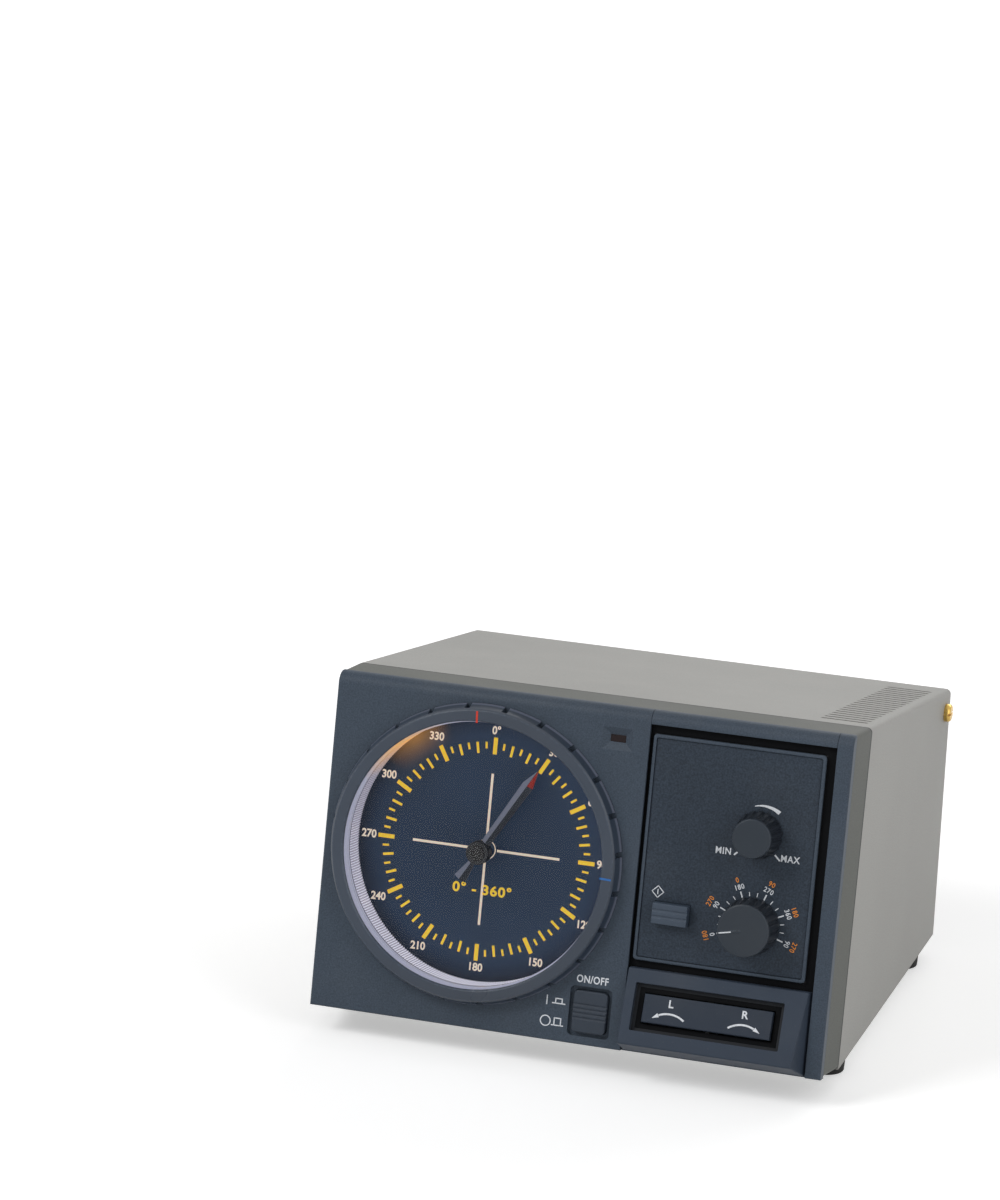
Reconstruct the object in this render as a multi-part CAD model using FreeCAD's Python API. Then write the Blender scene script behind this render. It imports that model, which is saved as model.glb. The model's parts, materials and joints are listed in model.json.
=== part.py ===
import FreeCAD, Part
import math
import os

from FreeCAD import Vector

# Desk-top controller for an antenna rotator: a wedge-shaped sheet-metal case with a moulded
# front that leans back, a large azimuth indicator and a column of controls.  Millimetres.
#
# Two frames are used.  Front pieces are drawn in the FACE frame: X to the right, Y from the
# front face into the case, Z up along the face, with Z = 0 at the lower edge of the cover.
# Pieces that sit on the floor of the case are drawn in the BENCH frame, whose Z is upright.
# to_bench() turns the first into the second.

# ---------------------------------------------------------------- driving dimensions
# Case
CASE_WIDTH = 200.0            # across the two sides of the cover
FACE_HEIGHT = 128.4           # cover height measured along the leaning face
COVER_TOP_DEPTH = 177.5       # front face to the rear edge of the cover's top
SURROUND_DEPTH = 26.0         # front face to the front edge of the cover
LEAN = 9.0                    # degrees that the face leans back
COVER_SHEET = 1.0
COVER_EDGE_ROUND = 2.0        # bend radius between the top and the sides
CHASSIS_SHEET = 1.2
PANEL_INSET = 0.8             # rear panel's outer face inside the cover's rear edge
SHEET_GAP = 0.2               # between the cover and the sheets inside it
FLANGE_HEIGHT = 12.0          # turned-up and turned-in edges of the sheets
FOOT_HEIGHT = 7.0
FOOT_RADIUS = 8.0
FOOT_TAPER = 0.5              # radius lost towards the desk
FOOT_INSET = 9.2              # foot centre from the side of the cover
FOOT_FRONT = 44.0             # foot centres behind the front face
FOOT_REAR = 174.0
FOOT_SEAT = 4.2               # foot's screw seat above the desk
FOOT_WELL_GAP = 1.0           # round the screw's head
PANEL_SCREW_X = 75.0          # outer screws through the floor into the rear panel

# Vents in the cover's top
VENT_ROWS = 20
VENT_PITCH = 6.38
VENT_LENGTH = 18.1            # one slot, along the row
VENT_WIDTH = 2.2
VENT_FRONT = 38.0             # middle of the first row behind the front face
VENT_SIDE = 4.2               # end of the rows from the side of the cover

# Moulded front
FRONT_TAPER = 1.1             # the front is this much smaller on each side than the cover
RIM_DEPTH = 5.0               # front moulding's edge, front to back
FASCIA_WALL = 2.5
CORNER_BOSS_LENGTH = 5.0      # screw bosses behind the moulding's rim
LEDGE_SHEET = 2.2             # surround's ledges that the bosses bear on
TOP_ROUND = 4.5               # radius of the front's upper edge
EDGE_ROUND = 0.9
SURROUND_WALL = 2.6
TONGUE_LENGTH = 6.0           # surround's lip inside the cover
TONGUE_WALL = 2.0
LUG_X = 60.0                  # surround's screw lugs on the case floor
LUG_FRONT = 22.0
LUG_BACK = 42.0
LUG_HEIGHT = 4.5
LUG_WIDTH = 12.0
LUG_SCREW_BACK = 7.0          # screw from the lug's rear end
SEAM = 0.15                   # shadow line between neighbouring mouldings
INSERT_LEFT = 22.7            # seam between the dial side and the control side
INSERT_RIGHT = 93.0
INSERT_BAND = 5.1             # height of the insert's rounded top band
INSERT_STEP = 2.2             # the insert's floor behind the front face
INSERT_FLOOR = 1.6            # its thickness
CORNER_BOSS_INSET = 5.7       # those bosses from the sides of the front moulding
CORNER_BOSS_LOW = 8.0
CORNER_BOSS_HIGH = 119.5
BOSS_RADIUS = 3.0

# Azimuth indicator
DIAL_X = -39.5
DIAL_Z = 65.9
DIAL_DEPTH = 13.5             # dial's face behind the front face
DIAL_SHEET = 1.2
RING_WINDOW = 50.2            # inner radius of the turning ring
RING_FRONT = 55.0             # outer radius at its front
RING_BASE = 56.6              # outer radius at the face
RING_HEIGHT = 5.5
RING_LIP = 1.3
RING_FLOAT = 0.25             # ring to face
RING_FIT = 0.10               # ring on its collar, on the radius
GRIP_COUNT = 24
GRIP_WIDTH = 2.0
GRIP_DEPTH = 2.1              # from the ring's base radius
COLLAR_WALL = 1.3
COLLAR_BEAD = 0.35            # snap bead that holds the ring
BEAD_HALF = 0.6               # half its width
BEAD_FLOAT = 0.3              # between the bead and the ends of the ring's groove
RING_INNER_EDGE = 0.5
RING_OUTER_EDGE = 0.7
GRIP_START = 1.0              # notches behind the ring's front
LENS_SHEET = 1.6
LENS_OVERLAP = 1.3            # lens radius beyond the window
LIGHT_RING_WALL = 1.1
LENS_SEAT = 0.1
POINTER_LENGTH = 39.0
POINTER_TAIL = 12.5
POINTER_WIDTH = 4.4
POINTER_THICKNESS = 1.8
POINTER_TIP = 7.0             # length of the pointed end
POINTER_WAIST = 3.3           # width beside the hub
POINTER_NECK = 2.2            # width where the tail starts
POINTER_FLARE = 5.1           # width at the tail's end
POINTER_RIDGE = 1.1           # edges of the blade behind its ridge
POINTER_AZIMUTH = 31.0        # degrees clockwise from the top, as it stands
HUB_RADIUS = 4.4
HUB_LENGTH = 5.0
BLADE_SETBACK = 1.25          # blade's ridge behind the hub's front
HUB_FRONT = 0.9               # hub cap's front behind the front face
CAP_RADIUS = 2.9
CAP_HEIGHT = 0.9
CAP_GROOVE_OUTER = 1.8
CAP_GROOVE_INNER = 1.4
CAP_GROOVE_DEPTH = 0.35
SHAFT_RADIUS = 1.5
SHAFT_FIT = 0.05              # shaft in a bushing, on the radius
DIAL_HOLE_GAP = 0.45          # dial round the shaft, on the radius
END_GAP = 0.3                 # between the end of a moving piece and what it faces

# Indicator's gear box
PLATE_SHEET = 1.2
FRONT_PLATE_HALF = 44.0       # half the side of the square front plate
BACK_PLATE_HALF = 35.0
PLATE_SCREW_OFFSET = 40.0     # front plate's screws from the dial's centre, each way
POST_OFFSET = 24.0
POST_RADIUS = 3.0
PLATE_SPACING = 9.0
PLATE_CORNER = 4.0
PLATE_BOSS = 0.6              # bearing bosses on the back plate
GEAR_MODULE = 0.8
GEAR_WIDTH = 3.0
POINTER_TEETH = 48
PINION_TEETH = 16
FEEDBACK_TEETH = 32
PRESSURE_ANGLE = 20.0
GEAR_BACKLASH = 0.10          # share of the tooth that is left free
GEAR_HUB_RADIUS = 3.6
GEAR_HUB_LENGTH = 2.0
MOTOR_DIRECTION = 180.0       # degrees clockwise from the top, seen from the front
FEEDBACK_DIRECTION = 285.0
MOTOR_RADIUS = 12.0
MOTOR_LENGTH = 24.0
FEEDBACK_RADIUS = 8.5
FEEDBACK_LENGTH = 9.0
TAG_HALF = 5.0                # tag strip under the feedback potentiometer
TAG_REACH = 5.0
TAG_SHEET = 1.0
TAG_SETBACK = 2.0
SHAFT_BOSS_RADIUS = 3.5
SHAFT_BOSS_HEIGHT = 1.5
LAMP_OFFSET = 31.1
LAMP_RADIUS = 2.5
LAMP_LENGTH = 7.0
LAMP_FLANGE = 0.6
LAMP_FLANGE_SHEET = 1.0

# Power button
POWER_X = 9.95
POWER_Z = 12.9
POWER_WIDTH = 13.1
POWER_HEIGHT = 15.8
POWER_ROUND = 1.8
POWER_PROUD = 0.5
POWER_CAP = 6.0
POWER_STEM = 5.0
POWER_STEM_LENGTH = 6.0
POWER_TRAVEL = 2.5
POWER_POCKET = 1.6            # depth of the recess around the button
POWER_MARGIN = 1.5            # recess beyond the button
POWER_GROOVES = 4
POWER_GROOVE_PITCH = 1.7
POWER_GROOVE_RADIUS = 0.6
GROOVE_DEPTH = 0.35           # finger grooves in both buttons
POWER_SWITCH_LENGTH = 18.0
POWER_SWITCH_HEIGHT = 12.0
BLADE_OFFSET = 3.0            # switch's four terminals from its centre, each way
BLADE_LENGTH = 7.0
BLADE_WIDTH = 4.4
BLADE_SHEET = 0.8
CAGE_WALL = 1.5
CAGE_GRIP = 12.6              # length of the switch between the cage walls
BUTTON_FIT = 0.15             # buttons in their holes, all round

# Overlap lamp
OVERLAP_X = 10.6
OVERLAP_Z = 115.7
OVERLAP_WIDTH = 5.8
OVERLAP_HEIGHT = 2.6
OVERLAP_MARGIN = 2.9
OVERLAP_POCKET = 1.5
LAMP_TUBE_WALL = 1.2
LAMP_SETBACK = 0.3            # lamp's dome behind the window or the dial

# Control plate
PLATE_LEFT = 25.5
PLATE_RIGHT = 88.0
PLATE_LOW = 36.4
PLATE_HIGH = 118.0
CONTROL_PLATE = 1.4           # its thickness
CONTROL_RIM = 1.4             # raised frame round the plate
RIM_PROUD = 0.5               # frame in front of the plate

# Knobs
SPEED_X = 67.0
SPEED_Z = 87.3
SPEED_BACK_RADIUS = 8.9
SPEED_FACE_RADIUS = 7.2
PRESET_X = 67.2
PRESET_Z = 53.3
PRESET_BACK_RADIUS = 10.8
PRESET_FACE_RADIUS = 9.7
KNOB_HEIGHT = 12.0
KNOB_LIFT = 0.5               # knob's back in front of the plate
KNOB_CAVITY = 3.2             # hollow in the knob's back, over the nut
KNOB_WALL = 1.8
INDEX_WIDTH = 0.8             # raised line on the preset knob
INDEX_PROUD = 0.25
INDEX_START = 1.0             # line from the knob's centre
INDEX_MARGIN = 1.2            # line from the edge of the knob's face
FLUTE_COUNT = 18
FLUTE_RADIUS = 0.8
FLUTE_OUT = 0.28              # flute's axis outside the knob's surface
FLUTE_START = 1.5             # flutes behind the knob's front
SPINDLE_RADIUS = 3.0
SPINDLE_TIP = 2.0             # knob material in front of the spindle
PRESET_REST = -102.0          # preset knob's line, degrees clockwise from the top
POT_RADIUS = 8.0
POT_LENGTH = 9.0
BUSHING_RADIUS = 3.5
NUT_RADIUS = 5.2
NUT_HEIGHT = 1.8

# Start button
START_X = 37.2
START_Z = 53.8
START_WIDTH = 13.4
START_HEIGHT = 7.8
START_PROUD = 4.0
START_STEM = 1.6
START_TRAVEL = 1.5
START_FLANGE = 1.0
START_GROOVE_RADIUS = 0.7
START_GROOVE_PITCH = 2.4

# Tactile switches behind the start button and the direction rocker
TACT_SIDE = 6.0
TACT_HEIGHT = 4.0
TACT_WELL = 2.0

# Control board
CONTROL_BOARD_LEFT = 26.0
CONTROL_BOARD_RIGHT = 89.0
CONTROL_BOARD_LOW = 38.0
CONTROL_BOARD_HIGH = 119.0
BOARD_SHEET = 1.6
BOARD_SCREW_INSET = 4.0

# Direction rocker
BLOCK_LEFT = 23.2
BLOCK_RIGHT = 88.9
BLOCK_LOW = 4.7
BLOCK_HIGH = 32.1
BLOCK_PROUD_LOW = 8.0         # front of the block at its lower edge
BLOCK_PROUD_HIGH = 0.5
BLOCK_BEVEL_X = 3.6
BLOCK_BEVEL_Z = 4.2
ROCKER_X = 55.2
ROCKER_MID = 14.4             # rocker's centre up the block's front, from its lower edge
ROCKER_WIDTH = 48.7
ROCKER_HEIGHT = 10.6
RECESS_MARGIN_X = 3.9
RECESS_MARGIN_Z = 3.6
RECESS_DEPTH = 2.6
BLOCK_LAP = 0.5               # rocker's housing into the block
ROCKER_SETBACK = 0.5          # rocker's face behind the block's front
ROCKER_THICKNESS = 3.0
ROCKER_GAP = 0.5
ROCKER_TILT = 3.0             # degrees each way
ROCKER_EAR = 4.0
ROCKER_EAR_WIDTH = 7.0
ROCKER_FINGER = 1.5
ROCKER_WELL_GAP = 0.8         # fingers in the switches' wells, on the radius
ROCKER_REACH = 19.0           # fingers from the pin
PIN_RADIUS = 1.25
PIN_SEAT = 1.6                # pin's grip in each wall

# Inside the case, bench frame, seen from the front: + X to the right
TRANSFORMER_X = -50.5
TRANSFORMER_Y = 126.0
CORE_WIDTH = 66.0
CORE_HEIGHT = 55.0
CORE_STACK = 32.0
CORE_LEG = 22.0
CORE_YOKE = 11.0
COIL_GAP = 0.3
COIL_OVERHANG = 10.0
COIL_CORNER = 5.0
STRAP_SHEET = 1.2
STRAP_FOOT = 10.0
STRAP_FOOT_WIDTH = 16.0
BOARD_X = 40.0
BOARD_WIDTH = 96.0
BOARD_LENGTH = 108.0
BOARD_GAP = 2.0               # main board to the rear panel's bottom flange
STANDOFF_HEIGHT = 5.0
STANDOFF_RADIUS = 3.2
CAPACITOR_RADIUS = 11.0
CAPACITOR_HEIGHT = 35.0
CAPACITOR_COUNT = 2
CAPACITOR_INSET_X = 8.0       # cans from the board's edges
CAPACITOR_INSET_Y = 12.0
CAPACITOR_GAP = 3.0
SINK_HEIGHT = 42.0
SINK_LENGTH = 60.0
SINK_SHEET = 2.5
SINK_FOOT = 14.0
SINK_INSET = 30.0             # sink's plate from the board's edge
SINK_FINS = 5
FIN_SHEET = 1.5
FIN_DEPTH = 9.8
TRANSISTOR_SHARES = (0.3, 0.7)  # places along the sink
TRANSISTOR_RISE = 25.0        # their screws above the board
TRANSISTOR_TAB = 6.0          # screw below the package's upper edge
LEG_PITCH = 5.0
LEG_WIDTH = 1.2
LEG_SHEET = 0.8
TRANSISTOR_WIDTH = 15.5
TRANSISTOR_HEIGHT = 20.0
TRANSISTOR_THICKNESS = 4.8

# Fasteners
SCREW_RADIUS = 1.5
SCREW_HEAD_RADIUS = 2.75
SCREW_HEAD_HEIGHT = 2.0
SCREW_LENGTH = 6.0
CROSS_LENGTH = 3.0
CROSS_WIDTH = 0.7
CROSS_DEPTH = 1.0
SCREW_GRIP = 0.03             # thread in its pilot hole, on the radius
SCREW_PASS = 0.15             # screw in a clearance hole, on the radius
COVER_SCREW_RADIUS = 2.0
COVER_SCREW_HEAD = 3.6
COVER_SCREW_HEAD_HEIGHT = 2.6
COVER_SCREW_LENGTH = 8.0
COVER_SLOT_WIDTH = 0.9
COVER_SLOT_DEPTH = 1.0
COVER_SCREW_BACK = 8.6        # screw from the cover's rear edge
COVER_SCREW_DOWN = 7.4        # screw below the cover's top

# Rear panel
SOCKET_X = -62.0
SOCKET_Z = 62.0
SOCKET_BORE = 9.0
SOCKET_WALL = 1.6
SOCKET_FLANGE = 28.0
SOCKET_FLANGE_SHEET = 2.0
SOCKET_FLANGE_CORNER = 2.5
SOCKET_SCREW_PITCH = 20.5
SOCKET_DEPTH = 9.0            # shell in front of the insert
SOCKET_BODY = 14.0            # shell inside the case
SOCKET_CONTACTS = 7
CONTACT_RADIUS = 0.9
CONTACT_CIRCLE = 5.8
CONTACT_DEPTH = 6.0
JACK_X = -24.0
JACK_Z = 62.0
JACK_RADIUS = 4.7
JACK_BODY = 14.0
JACK_FLANGE = 1.2
JACK_FLANGE_RADIUS = 6.7
JACK_GROOVE_OUTER = 4.1
JACK_GROOVE_INNER = 3.4
JACK_GROOVE_DEPTH = 5.0
JACK_CONTACTS = 6
JACK_CONTACT_CIRCLE = 2.2
JACK_CONTACT_RADIUS = 0.5
JACK_CONTACT_DEPTH = 4.0
FUSE_X = 30.0
FUSE_Z = 45.0
FUSE_RADIUS = 6.3
FUSE_FLANGE_RADIUS = 8.5
FUSE_FLANGE_SHEET = 2.0
FUSE_BODY = 26.0
FUSE_TUBE = 3.0               # radius of the space for the fuse
FUSE_END_WALL = 2.0
FUSE_CAP_RADIUS = 5.6
FUSE_CAP_DEPTH = 6.0
FUSE_CAP_PROUD = 8.0
FUSE_HEAD_RADIUS = 6.5
FUSE_SLOT_LENGTH = 9.0
FUSE_SLOT_DEPTH = 1.5
FUSE_SLOT_WIDTH = 1.4
GLAND_X = 62.0
GLAND_Z = 45.0
CORD_RADIUS = 4.0             # the bore that the mains cord comes out of
GLAND_RADIUS = 7.0
GLAND_FLANGE_RADIUS = 9.5
GLAND_PROUD = 6.0
GLAND_BODY = 6.0
STUD_X = 84.0
STUD_Z = 30.0
STUD_RADIUS = 2.0
STUD_PROUD = 16.0
STUD_HEAD_RADIUS = 4.5
STUD_HEAD_HEIGHT = 2.0
WING_NUT_RADIUS = 4.5
WING_NUT_HEIGHT = 4.0
WING_SPAN = 9.0
WING_SHEET = 1.6
WING_RISE = 4.0               # wings beyond the nut's hub
WING_CORNER = 2.5
WING_BASE = 1.0               # wings from the panel
NUT_DISH_WALL = 1.2           # hub round its dished end
TRIMMER_X = (12.0, 24.0)
TRIMMER_BODY = 9.5
TRIMMER_DEPTH = 8.0
TRIMMER_RADIUS = 3.0
TRIMMER_HOLE = 3.6
TRIMMER_SLOT = 0.8
TRIMMER_SLOT_DEPTH = 1.2

# Small rounded edges, and how far a cutting shape runs past what it cuts
SOFT_EDGE = 0.6
FINE_EDGE = 0.4
OVERCUT = 1.0
NEAR = 0.01                   # tolerance when an edge is picked by its place

# ---------------------------------------------------------------- derived values
HALF_WIDTH = CASE_WIDTH / 2
FRONT_HALF = HALF_WIDTH - FRONT_TAPER
FRONT_LOW = FRONT_TAPER / 4
FRONT_HIGH = FACE_HEIGHT - FRONT_TAPER / 2
SURROUND_FRONT = RIM_DEPTH + SEAM
LEAN_RAD = math.radians(LEAN)

INSERT_SEAT = INSERT_STEP + INSERT_FLOOR
RIM_LEFT = PLATE_LEFT - CONTROL_RIM
RIM_RIGHT = PLATE_RIGHT + CONTROL_RIM
RIM_LOW = PLATE_LOW - CONTROL_RIM
RIM_HIGH = PLATE_HIGH + CONTROL_RIM
PLATE_FACE = INSERT_STEP - CONTROL_PLATE
CONTROL_BOARD_FACE = INSERT_SEAT + POT_LENGTH

LENS_RADIUS = RING_WINDOW + LENS_OVERLAP
WELL_RADIUS = LENS_RADIUS + LENS_SEAT
COLLAR_RADIUS = WELL_RADIUS + COLLAR_WALL
RING_BORE = COLLAR_RADIUS + RING_FIT
COLLAR_FRONT = -(RING_HEIGHT - RING_LIP - RING_FLOAT)
LENS_FRONT = COLLAR_FRONT + RING_FLOAT
LENS_BACK = LENS_FRONT + LENS_SHEET
DIAL_BACK = DIAL_DEPTH + DIAL_SHEET
FRONT_PLATE_BACK = DIAL_BACK + PLATE_SHEET
BACK_PLATE_FRONT = FRONT_PLATE_BACK + PLATE_SPACING
BACK_PLATE_BACK = BACK_PLATE_FRONT + PLATE_SHEET
GEAR_FRONT = FRONT_PLATE_BACK + (PLATE_SPACING - GEAR_WIDTH) / 2
GEAR_BACK = GEAR_FRONT + GEAR_WIDTH

FLOOR_TOP = FOOT_HEIGHT + CHASSIS_SHEET
BOARD_TOP = FLOOR_TOP + STANDOFF_HEIGHT + BOARD_SHEET


def bench_point(x, y, z):
    """A point of the face frame, in the bench frame."""
    back = y - SURROUND_DEPTH
    return Vector(x,
                  SURROUND_DEPTH + back * math.cos(LEAN_RAD) + z * math.sin(LEAN_RAD),
                  FOOT_HEIGHT - back * math.sin(LEAN_RAD) + z * math.cos(LEAN_RAD))


def to_bench(shape):
    """A piece drawn in the face frame, leaned back and lifted onto the feet."""
    moved = shape.copy()
    moved.rotate(Vector(0, SURROUND_DEPTH, 0), Vector(1, 0, 0), -LEAN)
    moved.translate(Vector(0, 0, FOOT_HEIGHT))
    return moved


REAR_EDGE = bench_point(0, COVER_TOP_DEPTH, FACE_HEIGHT).y
PANEL_BACK = REAR_EDGE - PANEL_INSET
PANEL_FRONT = PANEL_BACK - CHASSIS_SHEET
COVER_REAR_TOP = bench_point(0, COVER_TOP_DEPTH, FACE_HEIGHT).z
BOARD_Y = PANEL_FRONT - FLANGE_HEIGHT - BOARD_GAP - BOARD_LENGTH / 2

BLOCK_RISE = BLOCK_HIGH - BLOCK_LOW
BLOCK_SLOPE = math.degrees(math.atan2(BLOCK_PROUD_LOW - BLOCK_PROUD_HIGH, BLOCK_RISE))


# ---------------------------------------------------------------- drawing helpers
def box(x0, x1, y0, y1, z0, z1):
    return Part.makeBox(x1 - x0, y1 - y0, z1 - z0, Vector(x0, y0, z0))


def rod_x(y, z, radius, x0, x1):
    return Part.makeCylinder(radius, x1 - x0, Vector(x0, y, z), Vector(1, 0, 0))


def rod_y(x, z, radius, y0, y1):
    return Part.makeCylinder(radius, y1 - y0, Vector(x, y0, z), Vector(0, 1, 0))


def rod_z(x, y, radius, z0, z1):
    return Part.makeCylinder(radius, z1 - z0, Vector(x, y, z0), Vector(0, 0, 1))


def cone_y(x, z, radius0, radius1, y0, y1):
    return Part.makeCone(radius0, radius1, y1 - y0, Vector(x, y0, z), Vector(0, 1, 0))


def tube_y(x, z, outer, inner, y0, y1):
    return rod_y(x, z, outer, y0, y1).cut(rod_y(x, z, inner, y0, y1))


def join(shapes):
    whole = shapes[0]
    for shape in shapes[1:]:
        whole = whole.fuse(shape)
    return whole.removeSplitter()


def carve(shape, tools):
    for tool in tools:
        shape = shape.cut(tool)
    return shape


def group(shapes):
    return Part.makeCompound(shapes)


def prism_x(outline, x0, x1):
    """Side-view outline of (y, z) points, swept from x0 to x1."""
    points = [Vector(x0, y, z) for y, z in outline]
    face = Part.Face(Part.makePolygon(points + points[:1]))
    return face.extrude(Vector(x1 - x0, 0, 0))


def prism_y(outline, y0, y1):
    """Front-view outline of (x, z) points, swept from y0 to y1."""
    points = [Vector(x, y0, z) for x, z in outline]
    face = Part.Face(Part.makePolygon(points + points[:1]))
    return face.extrude(Vector(0, y1 - y0, 0))


def turned(outline, x, z):
    """(radius, y) outline turned about the line along Y through (x, z)."""
    points = [Vector(x + radius, y, z) for radius, y in outline]
    face = Part.Face(Part.makePolygon(points + points[:1]))
    return face.revolve(Vector(x, 0, z), Vector(0, 1, 0), 360)


def round_edges(shape, radius, chosen):
    edges = [edge for edge in shape.Edges if chosen(edge)]
    return shape.makeFillet(radius, edges)


def along(edge, axis):
    """Whether a straight edge runs along the given axis, 0, 1 or 2."""
    spans = (edge.BoundBox.XLength, edge.BoundBox.YLength, edge.BoundBox.ZLength)
    return all(span < NEAR for index, span in enumerate(spans) if index != axis)


def slab(x0, x1, z0, z1, y0, y1, corner):
    """Flat piece in the face plane with rounded corners."""
    return round_edges(box(x0, x1, y0, y1, z0, z1), corner, lambda edge: along(edge, 1))


def tapered_pocket(x0, x1, z0, z1, y0, y1, margin):
    """Pocket that is wider by the margin at y0 than at y1."""
    wires = []
    for y, grow in ((y0, margin), (y1, 0.0)):
        corners = [Vector(x0 - grow, y, z0 - grow), Vector(x1 + grow, y, z0 - grow),
                   Vector(x1 + grow, y, z1 + grow), Vector(x0 - grow, y, z1 + grow)]
        wires.append(Part.makePolygon(corners + corners[:1]))
    return Part.makeLoft(wires, True, True)


def clockwise(x, z, radius, angle):
    """Point at an angle clockwise from the top, seen from the front."""
    turn = math.radians(angle)
    return x + radius * math.sin(turn), z + radius * math.cos(turn)


def turn_clockwise(shape, x, z, angle):
    moved = shape.copy()
    moved.rotate(Vector(x, 0, z), Vector(0, 1, 0), angle)
    return moved


def on_block(shape):
    """Piece drawn on the rocker block's front, X right, Y in, Z up from its lower edge."""
    moved = shape.copy()
    moved.rotate(Vector(0, 0, 0), Vector(1, 0, 0), -BLOCK_SLOPE)
    moved.translate(Vector(0, -BLOCK_PROUD_LOW, BLOCK_LOW))
    return moved


# ---------------------------------------------------------------- fasteners
def screw(point, direction):
    """Pan-head screw: the head's underside at the point, the shank along the direction."""
    head = Part.makeCylinder(SCREW_HEAD_RADIUS, SCREW_HEAD_HEIGHT, point, direction * -1)
    head = round_edges(head, SOFT_EDGE,
                       lambda edge: (edge.CenterOfMass - point).Length > SCREW_HEAD_HEIGHT / 2
                       and not along_direction(edge, direction))
    shank = Part.makeCylinder(SCREW_RADIUS, SCREW_LENGTH, point, direction)
    return head.fuse(shank).cut(cross_recess(point, direction))


def along_direction(edge, direction):
    ends = [vertex.Point for vertex in edge.Vertexes]
    return len(ends) == 2 and abs((ends[1] - ends[0]).normalize().dot(direction)) > 0.99


def cross_recess(point, direction):
    """Cross slot in the top of a screw's head."""
    slots = []
    for length, width in ((CROSS_LENGTH, CROSS_WIDTH), (CROSS_WIDTH, CROSS_LENGTH)):
        slot = Part.makeBox(length, width, CROSS_DEPTH + OVERCUT)
        slot.translate(Vector(-length / 2, -width / 2, SCREW_HEAD_HEIGHT - CROSS_DEPTH))
        turn = FreeCAD.Rotation(Vector(0, 0, 1), direction * -1)
        slot.Placement = FreeCAD.Placement(point, turn).multiply(slot.Placement)
        slots.append(slot)
    return slots[0].fuse(slots[1])


def pilot(point, direction, depth):
    """Hole that a screw's thread bites in."""
    return Part.makeCylinder(SCREW_RADIUS + SCREW_GRIP, depth, point, direction)


def clearance(point, direction, depth):
    """Hole that a screw passes through."""
    return Part.makeCylinder(SCREW_RADIUS + SCREW_PASS, depth, point, direction)


UP = Vector(0, 0, 1)
DOWN = Vector(0, 0, -1)
FORWARD = Vector(0, -OVERCUT, 0)
FACE_OUT = Vector(0, -math.cos(LEAN_RAD), math.sin(LEAN_RAD))


# ---------------------------------------------------------------- places shared by several pieces
def foot_places():
    side = HALF_WIDTH - FOOT_INSET
    return [(x, y) for x in (-side, side) for y in (FOOT_FRONT, FOOT_REAR)]


def lug_places():
    return [(x, LUG_BACK - LUG_SCREW_BACK) for x in (-LUG_X, LUG_X)]


def panel_screw_places():
    y = PANEL_FRONT - FLANGE_HEIGHT / 2
    return [(x, y) for x in (-PANEL_SCREW_X, 0.0, PANEL_SCREW_X)]


def strap_screw_places():
    reach = CORE_WIDTH / 2 + STRAP_SHEET + STRAP_FOOT / 2
    return [(TRANSFORMER_X + side * reach, TRANSFORMER_Y) for side in (-1, 1)]


def standoff_places():
    dx = BOARD_WIDTH / 2 - BOARD_SCREW_INSET
    dy = BOARD_LENGTH / 2 - BOARD_SCREW_INSET
    return [(BOARD_X + sx * dx, BOARD_Y + sy * dy) for sx in (-1, 1) for sy in (-1, 1)]


def corner_places():
    x = FRONT_HALF - CORNER_BOSS_INSET
    return [(side * x, z) for side in (-1, 1) for z in (CORNER_BOSS_LOW, CORNER_BOSS_HIGH)]


def dial_plate_places():
    return [(DIAL_X + sx * PLATE_SCREW_OFFSET, DIAL_Z + sz * PLATE_SCREW_OFFSET)
            for sx in (-1, 1) for sz in (-1, 1)]


def post_places():
    return [(DIAL_X + sx * POST_OFFSET, DIAL_Z + sz * POST_OFFSET)
            for sx in (-1, 1) for sz in (-1, 1)]


def control_board_places():
    xs = (CONTROL_BOARD_LEFT + BOARD_SCREW_INSET, CONTROL_BOARD_RIGHT - BOARD_SCREW_INSET)
    zs = (CONTROL_BOARD_LOW + BOARD_SCREW_INSET, CONTROL_BOARD_HIGH - BOARD_SCREW_INSET)
    return [(x, z) for x in xs for z in zs]


def socket_screw_places():
    half = SOCKET_SCREW_PITCH / 2
    return [(SOCKET_X + sx * half, SOCKET_Z + sz * half) for sx in (-1, 1) for sz in (-1, 1)]


def lamp_places():
    return [(DIAL_X - LAMP_OFFSET, DIAL_Z + LAMP_OFFSET), (DIAL_X + LAMP_OFFSET, DIAL_Z + LAMP_OFFSET)]


def gear_radius(teeth):
    return GEAR_MODULE * teeth / 2


def motor_place():
    distance = gear_radius(POINTER_TEETH) + gear_radius(PINION_TEETH)
    return clockwise(DIAL_X, DIAL_Z, distance, MOTOR_DIRECTION)


def feedback_place():
    distance = gear_radius(POINTER_TEETH) + gear_radius(FEEDBACK_TEETH)
    return clockwise(DIAL_X, DIAL_Z, distance, FEEDBACK_DIRECTION)


# ---------------------------------------------------------------- case
def cover_screw_point(side):
    """Centre of a cover screw on the outside of the cover."""
    return Vector(side * HALF_WIDTH, REAR_EDGE - COVER_SCREW_BACK, COVER_REAR_TOP - COVER_SCREW_DOWN)


def vent_slots():
    """Row on row of round-ended slots near the right-hand edge of the top."""
    radius = VENT_WIDTH / 2
    right = HALF_WIDTH - VENT_SIDE - radius
    left = right - VENT_LENGTH + 2 * radius
    low, high = FACE_HEIGHT - 2 * COVER_SHEET, FACE_HEIGHT + OVERCUT
    slots = []
    for row in range(VENT_ROWS):
        y = VENT_FRONT + row * VENT_PITCH
        slots.append(join([box(left, right, y - radius, y + radius, low, high),
                           rod_z(left, y, radius, low, high), rod_z(right, y, radius, low, high)]))
    return to_bench(group(slots))


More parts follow.
